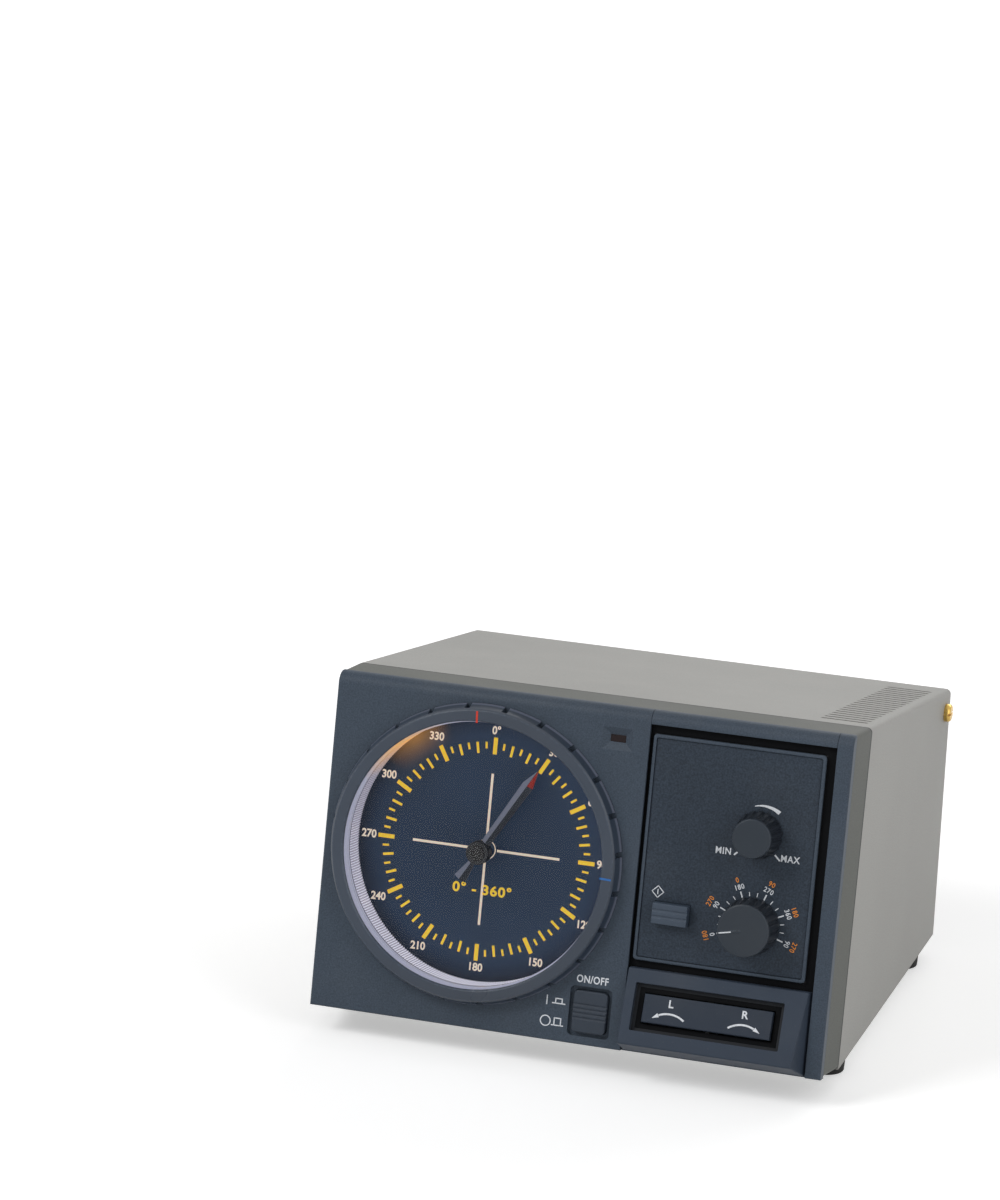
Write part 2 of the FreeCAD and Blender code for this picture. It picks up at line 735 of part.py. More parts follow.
def top_cover():
    top_front = bench_point(0, SURROUND_DEPTH, FACE_HEIGHT)
    outline = [(SURROUND_DEPTH, FOOT_HEIGHT), (top_front.y, top_front.z),
               (REAR_EDGE, COVER_REAR_TOP), (REAR_EDGE, FOOT_HEIGHT)]
    shell = prism_x(outline, -HALF_WIDTH, HALF_WIDTH)
    middle = (top_front.z + COVER_REAR_TOP) / 2
    shell = round_edges(shell, COVER_EDGE_ROUND,
                        lambda edge: abs(edge.CenterOfMass.z - middle) < 1 and not along(edge, 0)
                        and abs(abs(edge.CenterOfMass.x) - HALF_WIDTH) < NEAR)
    inside = HALF_WIDTH - COVER_SHEET
    hollow = box(-inside, inside, -FACE_HEIGHT, 2 * COVER_TOP_DEPTH, -FACE_HEIGHT,
                 FACE_HEIGHT - COVER_SHEET)
    hollow = round_edges(hollow, COVER_EDGE_ROUND - COVER_SHEET,
                         lambda edge: along(edge, 1) and edge.CenterOfMass.z > 0)
    holes = []
    for side in (-1, 1):
        point = cover_screw_point(side)
        holes.append(rod_x(point.y, point.z, COVER_SCREW_RADIUS + SCREW_PASS,
                           point.x - COVER_SCREW_LENGTH, point.x + COVER_SCREW_LENGTH))
    return carve(shell, [to_bench(hollow), vent_slots()] + holes)


def inside_half():
    """Half the width of the sheets inside the cover."""
    return HALF_WIDTH - COVER_SHEET - SHEET_GAP


def bottom_chassis():
    half = inside_half()
    front = SURROUND_DEPTH + SHEET_GAP + CHASSIS_SHEET * math.tan(LEAN_RAD)
    sheet = box(-half, half, front, PANEL_BACK, FOOT_HEIGHT, FLOOR_TOP)
    pieces = [sheet]
    side_front = front + FLANGE_HEIGHT
    for side in (-1, 1):
        inner = side * (half - CHASSIS_SHEET)
        x0, x1 = sorted((inner, side * half))
        pieces.append(box(x0, x1, side_front, PANEL_FRONT - FLANGE_HEIGHT - SHEET_GAP,
                          FOOT_HEIGHT, FLOOR_TOP + FLANGE_HEIGHT))
    for x, y in standoff_places():
        pieces.append(rod_z(x, y, STANDOFF_RADIUS, FOOT_HEIGHT, FLOOR_TOP + STANDOFF_HEIGHT))
    below = FOOT_HEIGHT - OVERCUT
    through = CHASSIS_SHEET + 2 * OVERCUT
    holes = [pilot(Vector(x, y, below), UP, through + STANDOFF_HEIGHT) for x, y in standoff_places()]
    holes += [pilot(Vector(x, y, below), UP, through) for x, y in foot_places()]
    for x, y in lug_places() + panel_screw_places() + strap_screw_places():
        holes.append(clearance(Vector(x, y, below), UP, through))
    return carve(join(pieces), holes)


def rubber_feet():
    feet = []
    for x, y in foot_places():
        foot = Part.makeCone(FOOT_RADIUS - FOOT_TAPER, FOOT_RADIUS, FOOT_HEIGHT, Vector(x, y, 0), UP)
        foot = round_edges(foot, SOFT_EDGE,
                           lambda edge: edge.CenterOfMass.z < NEAR and len(edge.Vertexes) == 1)
        recess = rod_z(x, y, SCREW_HEAD_RADIUS + FOOT_WELL_GAP, -OVERCUT, FOOT_SEAT)
        feet.append(carve(foot, [recess, clearance(Vector(x, y, 0), UP, FOOT_HEIGHT + OVERCUT)]))
    return group(feet)


def rear_panel():
    half = inside_half()
    top = COVER_REAR_TOP - COVER_SHEET - SHEET_GAP
    front = PANEL_FRONT - FLANGE_HEIGHT
    tray = box(-half, half, front, PANEL_BACK, FLOOR_TOP, top)
    tray = round_edges(tray, COVER_EDGE_ROUND - COVER_SHEET,
                       lambda edge: along(edge, 1) and edge.CenterOfMass.z > FLOOR_TOP + OVERCUT)
    inside = half - CHASSIS_SHEET
    tray = tray.cut(box(-inside, inside, front - OVERCUT, PANEL_FRONT, FLOOR_TOP + CHASSIS_SHEET,
                        top + OVERCUT))
    through = CHASSIS_SHEET + 2 * OVERCUT
    holes = [pilot(Vector(x, y, FLOOR_TOP - OVERCUT), UP, through) for x, y in panel_screw_places()]
    for side in (-1, 1):
        point = cover_screw_point(side)
        holes.append(rod_x(point.y, point.z, COVER_SCREW_RADIUS + SCREW_GRIP,
                           point.x - COVER_SCREW_LENGTH, point.x + COVER_SCREW_LENGTH))
    y0, y1 = PANEL_FRONT - OVERCUT, PANEL_BACK + OVERCUT
    holes.append(rod_y(SOCKET_X, SOCKET_Z, SOCKET_BORE + SOCKET_WALL, y0, y1))
    holes += [pilot(Vector(x, y1, z), FORWARD, through) for x, z in socket_screw_places()]
    holes.append(rod_y(JACK_X, JACK_Z, JACK_RADIUS, y0, y1))
    holes.append(rod_y(FUSE_X, FUSE_Z, FUSE_RADIUS, y0, y1))
    holes.append(rod_y(GLAND_X, GLAND_Z, GLAND_RADIUS, y0, y1))
    holes.append(rod_y(STUD_X, STUD_Z, STUD_RADIUS + SCREW_GRIP, y0, y1))
    holes += [rod_y(x, trimmer_height(), TRIMMER_HOLE, y0, y1) for x in TRIMMER_X]
    return carve(tray, holes)


def cover_screws():
    """Brass pan-head screws that hold the cover to the rear panel's side flanges."""
    screws = []
    for side in (-1, 1):
        point = cover_screw_point(side)
        outward = Vector(side, 0, 0)
        head = Part.makeCylinder(COVER_SCREW_HEAD, COVER_SCREW_HEAD_HEIGHT, point, outward)
        tip = point.x + side * COVER_SCREW_HEAD_HEIGHT
        head = round_edges(head, COVER_SCREW_HEAD_HEIGHT / 2,
                           lambda edge: abs(edge.CenterOfMass.x - tip) < NEAR)
        shank = Part.makeCylinder(COVER_SCREW_RADIUS, COVER_SCREW_LENGTH, point, outward * -1)
        x0, x1 = sorted((tip - side * COVER_SLOT_DEPTH, tip + side * OVERCUT))
        slot = box(x0, x1, point.y - COVER_SCREW_HEAD, point.y + COVER_SCREW_HEAD,
                   point.z - COVER_SLOT_WIDTH / 2, point.z + COVER_SLOT_WIDTH / 2)
        screws.append(head.fuse(shank).cut(slot))
    return group(screws)


# ---------------------------------------------------------------- moulded front
def rounded_outline(half, low, high, corner, y):
    """Closed wire of a rectangle with rounded corners in the plane Y = y."""
    k = corner
    spots = [(half - k, low + k, -90), (half - k, high - k, 0),
             (-half + k, high - k, 90), (-half + k, low + k, 180)]
    edges = []
    for cx, cz, start in spots:
        arc = []
        for angle in (start, start + 45, start + 90):
            turn = math.radians(angle)
            arc.append(Vector(cx + k * math.cos(turn), y, cz + k * math.sin(turn)))
        edges.append(Part.Arc(*arc).toShape())
    closed = []
    for index, edge in enumerate(edges):
        following = edges[(index + 1) % len(edges)]
        closed.append(edge)
        closed.append(Part.makeLine(edge.Vertexes[1].Point, following.Vertexes[0].Point))
    return Part.Wire(closed)


def front_surround():
    """Tapered grey frame between the front moulding and the cover."""
    outer = Part.makeLoft([
        rounded_outline(FRONT_HALF, FRONT_LOW, FRONT_HIGH, COVER_EDGE_ROUND, SURROUND_FRONT),
        rounded_outline(HALF_WIDTH, 0, FACE_HEIGHT, COVER_EDGE_ROUND, SURROUND_DEPTH)], True, True)
    inner_half = FRONT_HALF - SURROUND_WALL
    inner_low = FRONT_LOW + SURROUND_WALL
    inner_high = FRONT_HIGH - SURROUND_WALL
    frame = outer.cut(box(-inner_half, inner_half, 0, SURROUND_DEPTH + OVERCUT, inner_low, inner_high))
    tongue_half = HALF_WIDTH - COVER_SHEET - SHEET_GAP
    tongue_high = FACE_HEIGHT - COVER_SHEET - SHEET_GAP
    tongue_end = SURROUND_DEPTH + TONGUE_LENGTH
    tongue_low = FLANGE_HEIGHT + FOOT_HEIGHT
    tongue_start = SURROUND_DEPTH - TONGUE_LENGTH
    tongue = box(-tongue_half, tongue_half, tongue_start, tongue_end, tongue_low, tongue_high)
    tongue = round_edges(tongue, COVER_EDGE_ROUND - COVER_SHEET,
                         lambda edge: along(edge, 1) and edge.CenterOfMass.z > tongue_low + OVERCUT)
    tongue = tongue.cut(box(-tongue_half + TONGUE_WALL, tongue_half - TONGUE_WALL, 0, tongue_end + OVERCUT,
                            0, tongue_high - TONGUE_WALL))
    pieces = [frame, tongue]
    ledge_half = BOSS_RADIUS + CHASSIS_SHEET
    for x, z in corner_places():
        reach_x = math.copysign(FRONT_HALF - SURROUND_WALL / 2, x)
        x0, x1 = sorted((reach_x, x - math.copysign(BOSS_RADIUS, x)))
        pieces.append(box(x0, x1, corner_boss_back(), ledge_back(), z - ledge_half, z + ledge_half))
    surround = to_bench(join(pieces))
    lugs = []
    for x, y in lug_places():
        lugs.append(box(x - LUG_WIDTH / 2, x + LUG_WIDTH / 2, LUG_FRONT, LUG_BACK, FLOOR_TOP,
                        FLOOR_TOP + LUG_HEIGHT))
    holes = [pilot(Vector(x, y, FLOOR_TOP - OVERCUT), UP, LUG_HEIGHT + 2 * OVERCUT)
             for x, y in lug_places()]
    for x, z in corner_places():
        holes.append(clearance(bench_point(x, ledge_back() + OVERCUT, z), FACE_OUT,
                               LEDGE_SHEET + 2 * OVERCUT))
    return carve(join([surround] + lugs), holes)


def corner_boss_back():
    """Where the front moulding's corner bosses end."""
    return RIM_DEPTH + CORNER_BOSS_LENGTH


def ledge_back():
    """Back of the surround's corner ledges, which the screws' heads bear on."""
    return corner_boss_back() + LEDGE_SHEET


def fascia_block():
    """Solid front moulding with its rounded upper edge."""
    arc_mid = TOP_ROUND * (1 - math.sqrt(0.5))
    arc = Part.Arc(Vector(0, 0, FRONT_HIGH - TOP_ROUND), Vector(0, arc_mid, FRONT_HIGH - arc_mid),
                   Vector(0, TOP_ROUND, FRONT_HIGH)).toShape()
    rest = Part.makePolygon([Vector(0, TOP_ROUND, FRONT_HIGH), Vector(0, RIM_DEPTH, FRONT_HIGH),
                             Vector(0, RIM_DEPTH, FRONT_LOW), Vector(0, 0, FRONT_LOW),
                             Vector(0, 0, FRONT_HIGH - TOP_ROUND)])
    face = Part.Face(Part.Wire([arc] + rest.Edges))
    face.translate(Vector(-FRONT_HALF, 0, 0))
    block = face.extrude(Vector(2 * FRONT_HALF, 0, 0))
    return round_edges(block, EDGE_ROUND,
                       lambda edge: edge.CenterOfMass.y < TOP_ROUND / 2 and
                       (abs(abs(edge.CenterOfMass.x) - FRONT_HALF) < NEAR
                        or edge.CenterOfMass.z < FRONT_LOW + NEAR))


def power_recess(y0, y1, grow):
    """Space around the power button: open by the margin, down to the moulding's lower edge."""
    half_x = POWER_WIDTH / 2 + grow
    half_z = POWER_HEIGHT / 2 + grow
    return slab(POWER_X - half_x, POWER_X + half_x, POWER_Z - half_z, POWER_Z + half_z,
                y0, y1, POWER_ROUND)


def front_panel():
    wall = FASCIA_WALL
    hollow_low, hollow_high = FRONT_LOW + wall, FRONT_HIGH - wall
    post_left, post_right = INSERT_LEFT + wall, INSERT_RIGHT - wall
    tools = [
        box(-FRONT_HALF + wall, INSERT_LEFT - wall, wall, RIM_DEPTH + OVERCUT, hollow_low, hollow_high),
        box(post_left, post_right, -OVERCUT, RIM_DEPTH + OVERCUT, hollow_low, hollow_high),
        box(INSERT_RIGHT + wall, FRONT_HALF - wall, wall, RIM_DEPTH + OVERCUT, hollow_low, hollow_high)]
    panel = carve(fascia_block(), tools)
    pieces = [panel, rod_y(DIAL_X, DIAL_Z, COLLAR_RADIUS, COLLAR_FRONT, DIAL_BACK)]
    inside = COLLAR_RADIUS - COLLAR_WALL / 2
    low, high = bead_middle() - BEAD_HALF, bead_middle() + BEAD_HALF
    bead = [(inside, low), (COLLAR_RADIUS, low), (COLLAR_RADIUS + COLLAR_BEAD, bead_middle()),
            (COLLAR_RADIUS, high), (inside, high)]
    pieces.append(turned(bead, DIAL_X, DIAL_Z))
    for x, z in dial_plate_places():
        pieces.append(rod_y(x, z, BOSS_RADIUS, wall, DIAL_BACK))
    for x, z in corner_places():
        pieces.append(rod_y(x, z, BOSS_RADIUS, wall, corner_boss_back()))
    for side in (-1, 1):
        inner = POWER_X + side * (power_switch_half() + BUTTON_FIT / 2)
        x0, x1 = sorted((inner, inner + side * CAGE_WALL))
        pieces.append(box(x0, x1, wall / 2, power_switch_front() + CAGE_GRIP,
                          POWER_Z - POWER_SWITCH_HEIGHT / 2, POWER_Z + POWER_SWITCH_HEIGHT / 2))
    tube = LAMP_RADIUS + BUTTON_FIT + LAMP_TUBE_WALL
    pieces.append(rod_y(OVERLAP_X, OVERLAP_Z, tube, wall / 2, lamp_tube_end()))
    holes = [box(INSERT_LEFT, INSERT_RIGHT, -OVERCUT, INSERT_SEAT, -OVERCUT, FACE_HEIGHT),
             rod_y(DIAL_X, DIAL_Z, WELL_RADIUS, -RING_HEIGHT, DIAL_BACK + OVERCUT),
             power_recess(-OVERCUT, POWER_POCKET, POWER_MARGIN),
             power_recess(0, RIM_DEPTH, BUTTON_FIT),
             tapered_pocket(OVERLAP_X - OVERLAP_WIDTH / 2, OVERLAP_X + OVERLAP_WIDTH / 2,
                            OVERLAP_Z - OVERLAP_HEIGHT / 2, OVERLAP_Z + OVERLAP_HEIGHT / 2,
                            0, OVERLAP_POCKET, OVERLAP_MARGIN),
             window_block(0.0, wall + OVERCUT, BUTTON_FIT / 3),
             rod_y(OVERLAP_X, OVERLAP_Z, LAMP_RADIUS + BUTTON_FIT, wall, lamp_tube_end() + OVERCUT)]
    holes += [pilot(Vector(x, DIAL_BACK + OVERCUT, z), FORWARD, SCREW_LENGTH + OVERCUT)
              for x, z in dial_plate_places()]
    holes += [pilot(Vector(x, corner_boss_back() + OVERCUT, z), FORWARD, SCREW_LENGTH)
              for x, z in corner_places()]
    return carve(join(pieces), holes)


def lamp_tube_end():
    """Back of the tube that holds the overlap lamp, where the lamp's flange seats."""
    return FASCIA_WALL + LAMP_SETBACK + LAMP_LENGTH


def bead_middle():
    """Middle of the collar's snap bead, front to back."""
    return -RING_HEIGHT / 3


def window_block(y0, y1, grow):
    half_x = OVERLAP_WIDTH / 2 + grow
    half_z = OVERLAP_HEIGHT / 2 + grow
    return box(OVERLAP_X - half_x, OVERLAP_X + half_x, y0, y1, OVERLAP_Z - half_z, OVERLAP_Z + half_z)


def overlap_window():
    """Dark red window in front of the overlap lamp."""
    return window_block(OVERLAP_POCKET, FASCIA_WALL, 0.0)


# ---------------------------------------------------------------- control insert and plate
def control_insert():
    """Tray on the right of the front: top band, recessed floor and the frame of the plate."""
    left, right = INSERT_LEFT + SEAM, INSERT_RIGHT - SEAM
    block = fascia_block().common(box(left, right, -OVERCUT, INSERT_SEAT, 0, FACE_HEIGHT))
    wall = FASCIA_WALL
    block = block.cut(box(left - OVERCUT, right + OVERCUT, -OVERCUT, INSERT_STEP, -OVERCUT,
                          FRONT_HIGH - INSERT_BAND))
    rim_back = INSERT_STEP + INSERT_FLOOR / 2
    rim = slab(RIM_LEFT, RIM_RIGHT, RIM_LOW, RIM_HIGH, PLATE_FACE - RIM_PROUD, rim_back, CONTROL_RIM)
    rim = round_edges(rim, SOFT_EDGE,
                      lambda edge: abs(edge.CenterOfMass.y - PLATE_FACE + RIM_PROUD) < NEAR)
    pieces = [block, rim]
    for x, z in control_board_places():
        pieces.append(rod_y(x, z, BOSS_RADIUS, rim_back, CONTROL_BOARD_FACE))
    holes = [slab(PLATE_LEFT - SEAM, PLATE_RIGHT + SEAM, PLATE_LOW - SEAM, PLATE_HIGH + SEAM,
                  PLATE_FACE - 2 * RIM_PROUD, INSERT_STEP, SOFT_EDGE + SEAM),
             box(BLOCK_LEFT + wall, BLOCK_RIGHT - wall, -OVERCUT, RIM_DEPTH + OVERCUT, BLOCK_LOW,
                 BLOCK_HIGH - wall)]
    holes += [pilot(Vector(x, CONTROL_BOARD_FACE + OVERCUT, z), FORWARD, SCREW_LENGTH)
              for x, z in control_board_places()]
    holes += control_holes()
    return carve(join(pieces), holes)


def control_holes():
    """Holes for the two potentiometers and the start button, through plate and floor."""
    bushing = BUSHING_RADIUS + SEAM
    half_x, half_z = START_WIDTH / 2 + BUTTON_FIT, START_HEIGHT / 2 + BUTTON_FIT
    return [rod_y(SPEED_X, SPEED_Z, bushing, -OVERCUT, INSERT_SEAT + OVERCUT),
            rod_y(PRESET_X, PRESET_Z, bushing, -OVERCUT, INSERT_SEAT + OVERCUT),
            box(START_X - half_x, START_X + half_x, -OVERCUT, INSERT_SEAT + OVERCUT, START_Z - half_z,
                START_Z + half_z)]


def control_plate():
    """Fine-textured plate in the insert's frame."""
    plate = slab(PLATE_LEFT, PLATE_RIGHT, PLATE_LOW, PLATE_HIGH, PLATE_FACE, INSERT_STEP, SOFT_EDGE)
    return carve(plate, control_holes())


# ---------------------------------------------------------------- azimuth indicator
def bezel_ring():
    """Turning ring with grip notches that snaps over the collar."""
    back = -RING_FLOAT
    front = -RING_HEIGHT
    lip_back = front + RING_LIP
    groove = RING_BORE + COLLAR_BEAD + RING_FIT
    bead = bead_middle()
    mouth = BEAD_HALF + BEAD_FLOAT
    outline = [(RING_BORE, back), (RING_BORE, bead + mouth), (groove, bead + BEAD_FLOAT),
               (groove, bead - BEAD_FLOAT), (RING_BORE, bead - mouth), (RING_BORE, lip_back),
               (RING_WINDOW, lip_back), (RING_WINDOW, front + RING_INNER_EDGE),
               (RING_WINDOW + RING_INNER_EDGE, front), (RING_FRONT - RING_OUTER_EDGE, front),
               (RING_FRONT, front + RING_OUTER_EDGE), (RING_BASE, back)]
    ring = turned(outline, DIAL_X, DIAL_Z)
    notches = []
    for index in range(GRIP_COUNT):
        notch = box(DIAL_X - GRIP_WIDTH / 2, DIAL_X + GRIP_WIDTH / 2, front + GRIP_START, 0,
                    DIAL_Z + RING_BASE - GRIP_DEPTH, DIAL_Z + RING_BASE + OVERCUT)
        notches.append(turn_clockwise(notch, DIAL_X, DIAL_Z, (index + 0.5) * 360 / GRIP_COUNT))
    return ring.cut(notches[0].multiFuse(notches[1:]))


def dial_lens():
    return rod_y(DIAL_X, DIAL_Z, LENS_RADIUS, LENS_FRONT, LENS_BACK)


def light_ring():
    """Clear ribbed ring that spreads the lamps' light round the dial."""
    return tube_y(DIAL_X, DIAL_Z, LENS_RADIUS, LENS_RADIUS - LIGHT_RING_WALL, LENS_BACK, DIAL_DEPTH)


def dial_face():
    disc = rod_y(DIAL_X, DIAL_Z, LENS_RADIUS, DIAL_DEPTH, DIAL_BACK)
    return disc.cut(rod_y(DIAL_X, DIAL_Z, SHAFT_RADIUS + DIAL_HOLE_GAP, DIAL_DEPTH - OVERCUT,
                          DIAL_BACK + OVERCUT))


def pointer_plane():
    """Ridge of the pointer's blade."""
    return HUB_FRONT + CAP_HEIGHT + BLADE_SETBACK


def pointer():
    """Ridged needle with a short flared tail on a round hub."""
    top = DIAL_Z + POINTER_LENGTH
    tail = DIAL_Z - POINTER_TAIL
    front = pointer_plane()
    right = [(POINTER_WIDTH / 2, top - POINTER_TIP), (POINTER_WAIST / 2, DIAL_Z),
             (POINTER_NECK / 2, DIAL_Z - HUB_RADIUS), (POINTER_FLARE / 2, tail)]
    outline = [(DIAL_X, top)] + [(DIAL_X + x, z) for x, z in right]
    outline += [(DIAL_X - x, z) for x, z in reversed(right)]
    blade = prism_y(outline, front, front + POINTER_THICKNESS)
    low = tail - OVERCUT
    for side in (-1, 1):
        edge_x = DIAL_X + side * POINTER_WIDTH
        wedge = Part.Face(Part.makePolygon([
            Vector(DIAL_X, front, low), Vector(edge_x, front, low),
            Vector(edge_x, front + 2 * POINTER_RIDGE, low), Vector(DIAL_X, front, low)]))
        blade = blade.cut(wedge.extrude(Vector(0, 0, top - tail + 2 * OVERCUT)))
    hub_start = HUB_FRONT + CAP_HEIGHT
    hub = rod_y(DIAL_X, DIAL_Z, HUB_RADIUS, hub_start, hub_start + HUB_LENGTH)
    hub = round_edges(hub, FINE_EDGE, lambda edge: abs(edge.CenterOfMass.y - hub_start) < NEAR)
    bore = rod_y(DIAL_X, DIAL_Z, SHAFT_RADIUS, HUB_FRONT, hub_start + HUB_LENGTH + OVERCUT)
    return turn_clockwise(join([blade, hub]).cut(bore), DIAL_X, DIAL_Z, POINTER_AZIMUTH)


def pointer_cap():
    """Round cap pressed on the front of the hub."""
    cap = rod_y(DIAL_X, DIAL_Z, CAP_RADIUS, HUB_FRONT, HUB_FRONT + CAP_HEIGHT)
    cap = round_edges(cap, FINE_EDGE, lambda edge: abs(edge.CenterOfMass.y - HUB_FRONT) < NEAR)
    return cap.cut(tube_y(DIAL_X, DIAL_Z, CAP_GROOVE_OUTER, CAP_GROOVE_INNER, HUB_FRONT - OVERCUT,
                          HUB_FRONT + CAP_GROOVE_DEPTH))


def pointer_shaft():
    return rod_y(DIAL_X, DIAL_Z, SHAFT_RADIUS, HUB_FRONT + CAP_HEIGHT,
                 BACK_PLATE_BACK + SHAFT_BOSS_HEIGHT)


def gear_outline(teeth, phase):
    """Involute-flanked gear centred on (0, 0); a tooth points at the phase, clockwise degrees."""
    pitch = gear_radius(teeth)
    tip = pitch + 0.9 * GEAR_MODULE
    root = pitch - 1.2 * GEAR_MODULE
    base = pitch * math.cos(math.radians(PRESSURE_ANGLE))

    def involute(radius):
        angle = math.acos(min(1.0, base / radius))
        return math.tan(angle) - angle

    half_pitch = math.pi / (2 * teeth) * (1 - GEAR_BACKLASH)
    flank_start = max(base, root)
    radii = [root, flank_start + 0.02, (flank_start + pitch) / 2, pitch, (pitch + tip) / 2, tip]
    flank = []
    for radius in radii:
        lean = half_pitch + involute(pitch) - involute(max(radius, base))
        flank.append((radius, lean))
    points = []
    for tooth in range(teeth):
        middle = math.radians(phase) + 2 * math.pi * tooth / teeth
        for radius, lean in flank:
            points.append((radius * math.sin(middle - lean), radius * math.cos(middle - lean)))
        for radius, lean in reversed(flank):
            points.append((radius * math.sin(middle + lean), radius * math.cos(middle + lean)))
    return points


def gear(x, z, teeth, phase, bore):
    outline = [(x + px, z + pz) for px, pz in gear_outline(teeth, phase)]
    wheel = prism_y(outline, GEAR_FRONT, GEAR_BACK)
    hub = rod_y(x, z, GEAR_HUB_RADIUS, GEAR_BACK, GEAR_BACK + GEAR_HUB_LENGTH)
    return join([wheel, hub]).cut(rod_y(x, z, bore, GEAR_FRONT - OVERCUT,
                                        GEAR_BACK + GEAR_HUB_LENGTH + OVERCUT))


def mating_phase(teeth, direction):
    """Phase that puts a gap of the driven gear opposite the pointer gear's tooth."""
    pointer_phase = direction % (360 / POINTER_TEETH)
    return direction + 180 + (pointer_phase * POINTER_TEETH + 180) / teeth


def pointer_gear():
    return gear(DIAL_X, DIAL_Z, POINTER_TEETH, 0.0, SHAFT_RADIUS)


def motor_pinion():
    x, z = motor_place()
    wheel = gear(x, z, PINION_TEETH, mating_phase(PINION_TEETH, MOTOR_DIRECTION), SHAFT_RADIUS)
    shaft = rod_y(x, z, SHAFT_RADIUS, GEAR_FRONT, BACK_PLATE_BACK + SHAFT_BOSS_HEIGHT)
    return join([wheel, shaft])


def feedback_gear():
    x, z = feedback_place()
    wheel = gear(x, z, FEEDBACK_TEETH, mating_phase(FEEDBACK_TEETH, FEEDBACK_DIRECTION), SHAFT_RADIUS)
    shaft = rod_y(x, z, SHAFT_RADIUS, GEAR_FRONT, BACK_PLATE_BACK + SHAFT_BOSS_HEIGHT)
    return join([wheel, shaft])


def gearbox_front_plate():
    half = FRONT_PLATE_HALF
    plate = slab(DIAL_X - half, DIAL_X + half, DIAL_Z - half, DIAL_Z + half, DIAL_BACK,
                 FRONT_PLATE_BACK, PLATE_CORNER)
    y0, y1 = DIAL_BACK - OVERCUT, FRONT_PLATE_BACK + OVERCUT
    holes = [rod_y(DIAL_X, DIAL_Z, SHAFT_RADIUS + SHAFT_FIT, y0, y1)]
    holes += [clearance(Vector(x, y1, z), FORWARD, y1 - y0) for x, z in dial_plate_places()]
    holes += [rod_y(x, z, LAMP_RADIUS + BUTTON_FIT, y0, y1) for x, z in lamp_places()]
    return carve(plate, holes)


def gearbox_back_plate():
    half = BACK_PLATE_HALF
    plate = slab(DIAL_X - half, DIAL_X + half, DIAL_Z - half, DIAL_Z + half, BACK_PLATE_FRONT,
                 BACK_PLATE_BACK, PLATE_CORNER)
    boss_front = BACK_PLATE_FRONT - PLATE_BOSS
    y0, y1 = boss_front - OVERCUT, BACK_PLATE_BACK + OVERCUT
    holes = [clearance(Vector(x, y1, z), FORWARD, y1 - y0) for x, z in post_places()]
    for x, z in ((DIAL_X, DIAL_Z), motor_place(), feedback_place()):
        plate = plate.fuse(rod_y(x, z, SHAFT_BOSS_RADIUS, boss_front, BACK_PLATE_FRONT))
        holes.append(rod_y(x, z, SHAFT_RADIUS + SHAFT_FIT, y0, y1))
    return carve(plate, holes)


def gearbox_posts():
    posts = []
    for x, z in post_places():
        post = rod_y(x, z, POST_RADIUS, FRONT_PLATE_BACK, BACK_PLATE_FRONT)
        posts.append(post.cut(pilot(Vector(x, BACK_PLATE_FRONT + OVERCUT, z), FORWARD, SCREW_LENGTH)))
    return group(posts)


def canned_unit(place, radius, length):
    """Can on the back plate with a blind bearing for a gear's shaft."""
    x, z = place
    can = rod_y(x, z, radius, BACK_PLATE_BACK, BACK_PLATE_BACK + length)
    can = round_edges(can, SOFT_EDGE, lambda edge: edge.CenterOfMass.y > BACK_PLATE_BACK + length - NEAR)
    bearing = rod_y(x, z, SHAFT_RADIUS + SHAFT_FIT, BACK_PLATE_BACK - OVERCUT,
                    BACK_PLATE_BACK + SHAFT_BOSS_HEIGHT + END_GAP)
    return can.cut(bearing)


def indicator_motor():
    x, z = motor_place()
    can = canned_unit((x, z), MOTOR_RADIUS, MOTOR_LENGTH)
    end = BACK_PLATE_BACK + MOTOR_LENGTH
    return join([can, rod_y(x, z, SHAFT_BOSS_RADIUS, end, end + SHAFT_BOSS_HEIGHT)])


def feedback_pot():
    x, z = feedback_place()
    can = canned_unit((x, z), FEEDBACK_RADIUS, FEEDBACK_LENGTH)
    tag_front = BACK_PLATE_BACK + TAG_SETBACK
    tag = box(x - TAG_HALF, x + TAG_HALF, tag_front, tag_front + TAG_SHEET,
              z - FEEDBACK_RADIUS - TAG_REACH, z)
    return join([can, tag.cut(rod_y(x, z, FEEDBACK_RADIUS / 2, 0, COVER_TOP_DEPTH))])


def lamp(x, z, y):
    """Lamp with a domed front at y and a flange at its back."""
    body = rod_y(x, z, LAMP_RADIUS, y, y + LAMP_LENGTH)
    body = round_edges(body, LAMP_RADIUS - END_GAP, lambda edge: edge.CenterOfMass.y < y + NEAR)
    flange = rod_y(x, z, LAMP_RADIUS + BUTTON_FIT + LAMP_FLANGE, y + LAMP_LENGTH,
                   y + LAMP_LENGTH + LAMP_FLANGE_SHEET)
    return join([body, flange])


def indicator_lamps():
    """Two lamps behind the dial and one behind the overlap window."""
    lamps = [lamp(x, z, DIAL_BACK + LAMP_SETBACK) for x, z in lamp_places()]
    lamps.append(lamp(OVERLAP_X, OVERLAP_Z, FASCIA_WALL + LAMP_SETBACK))
    return group(lamps)


# ---------------------------------------------------------------- power button
def power_switch_half():
    """Half the width of the mains switch, a snug fit between the cage walls."""
    return POWER_WIDTH / 2 + BUTTON_FIT / 2


def power_switch_front():
    return POWER_CAP - POWER_PROUD + POWER_TRAVEL + END_GAP


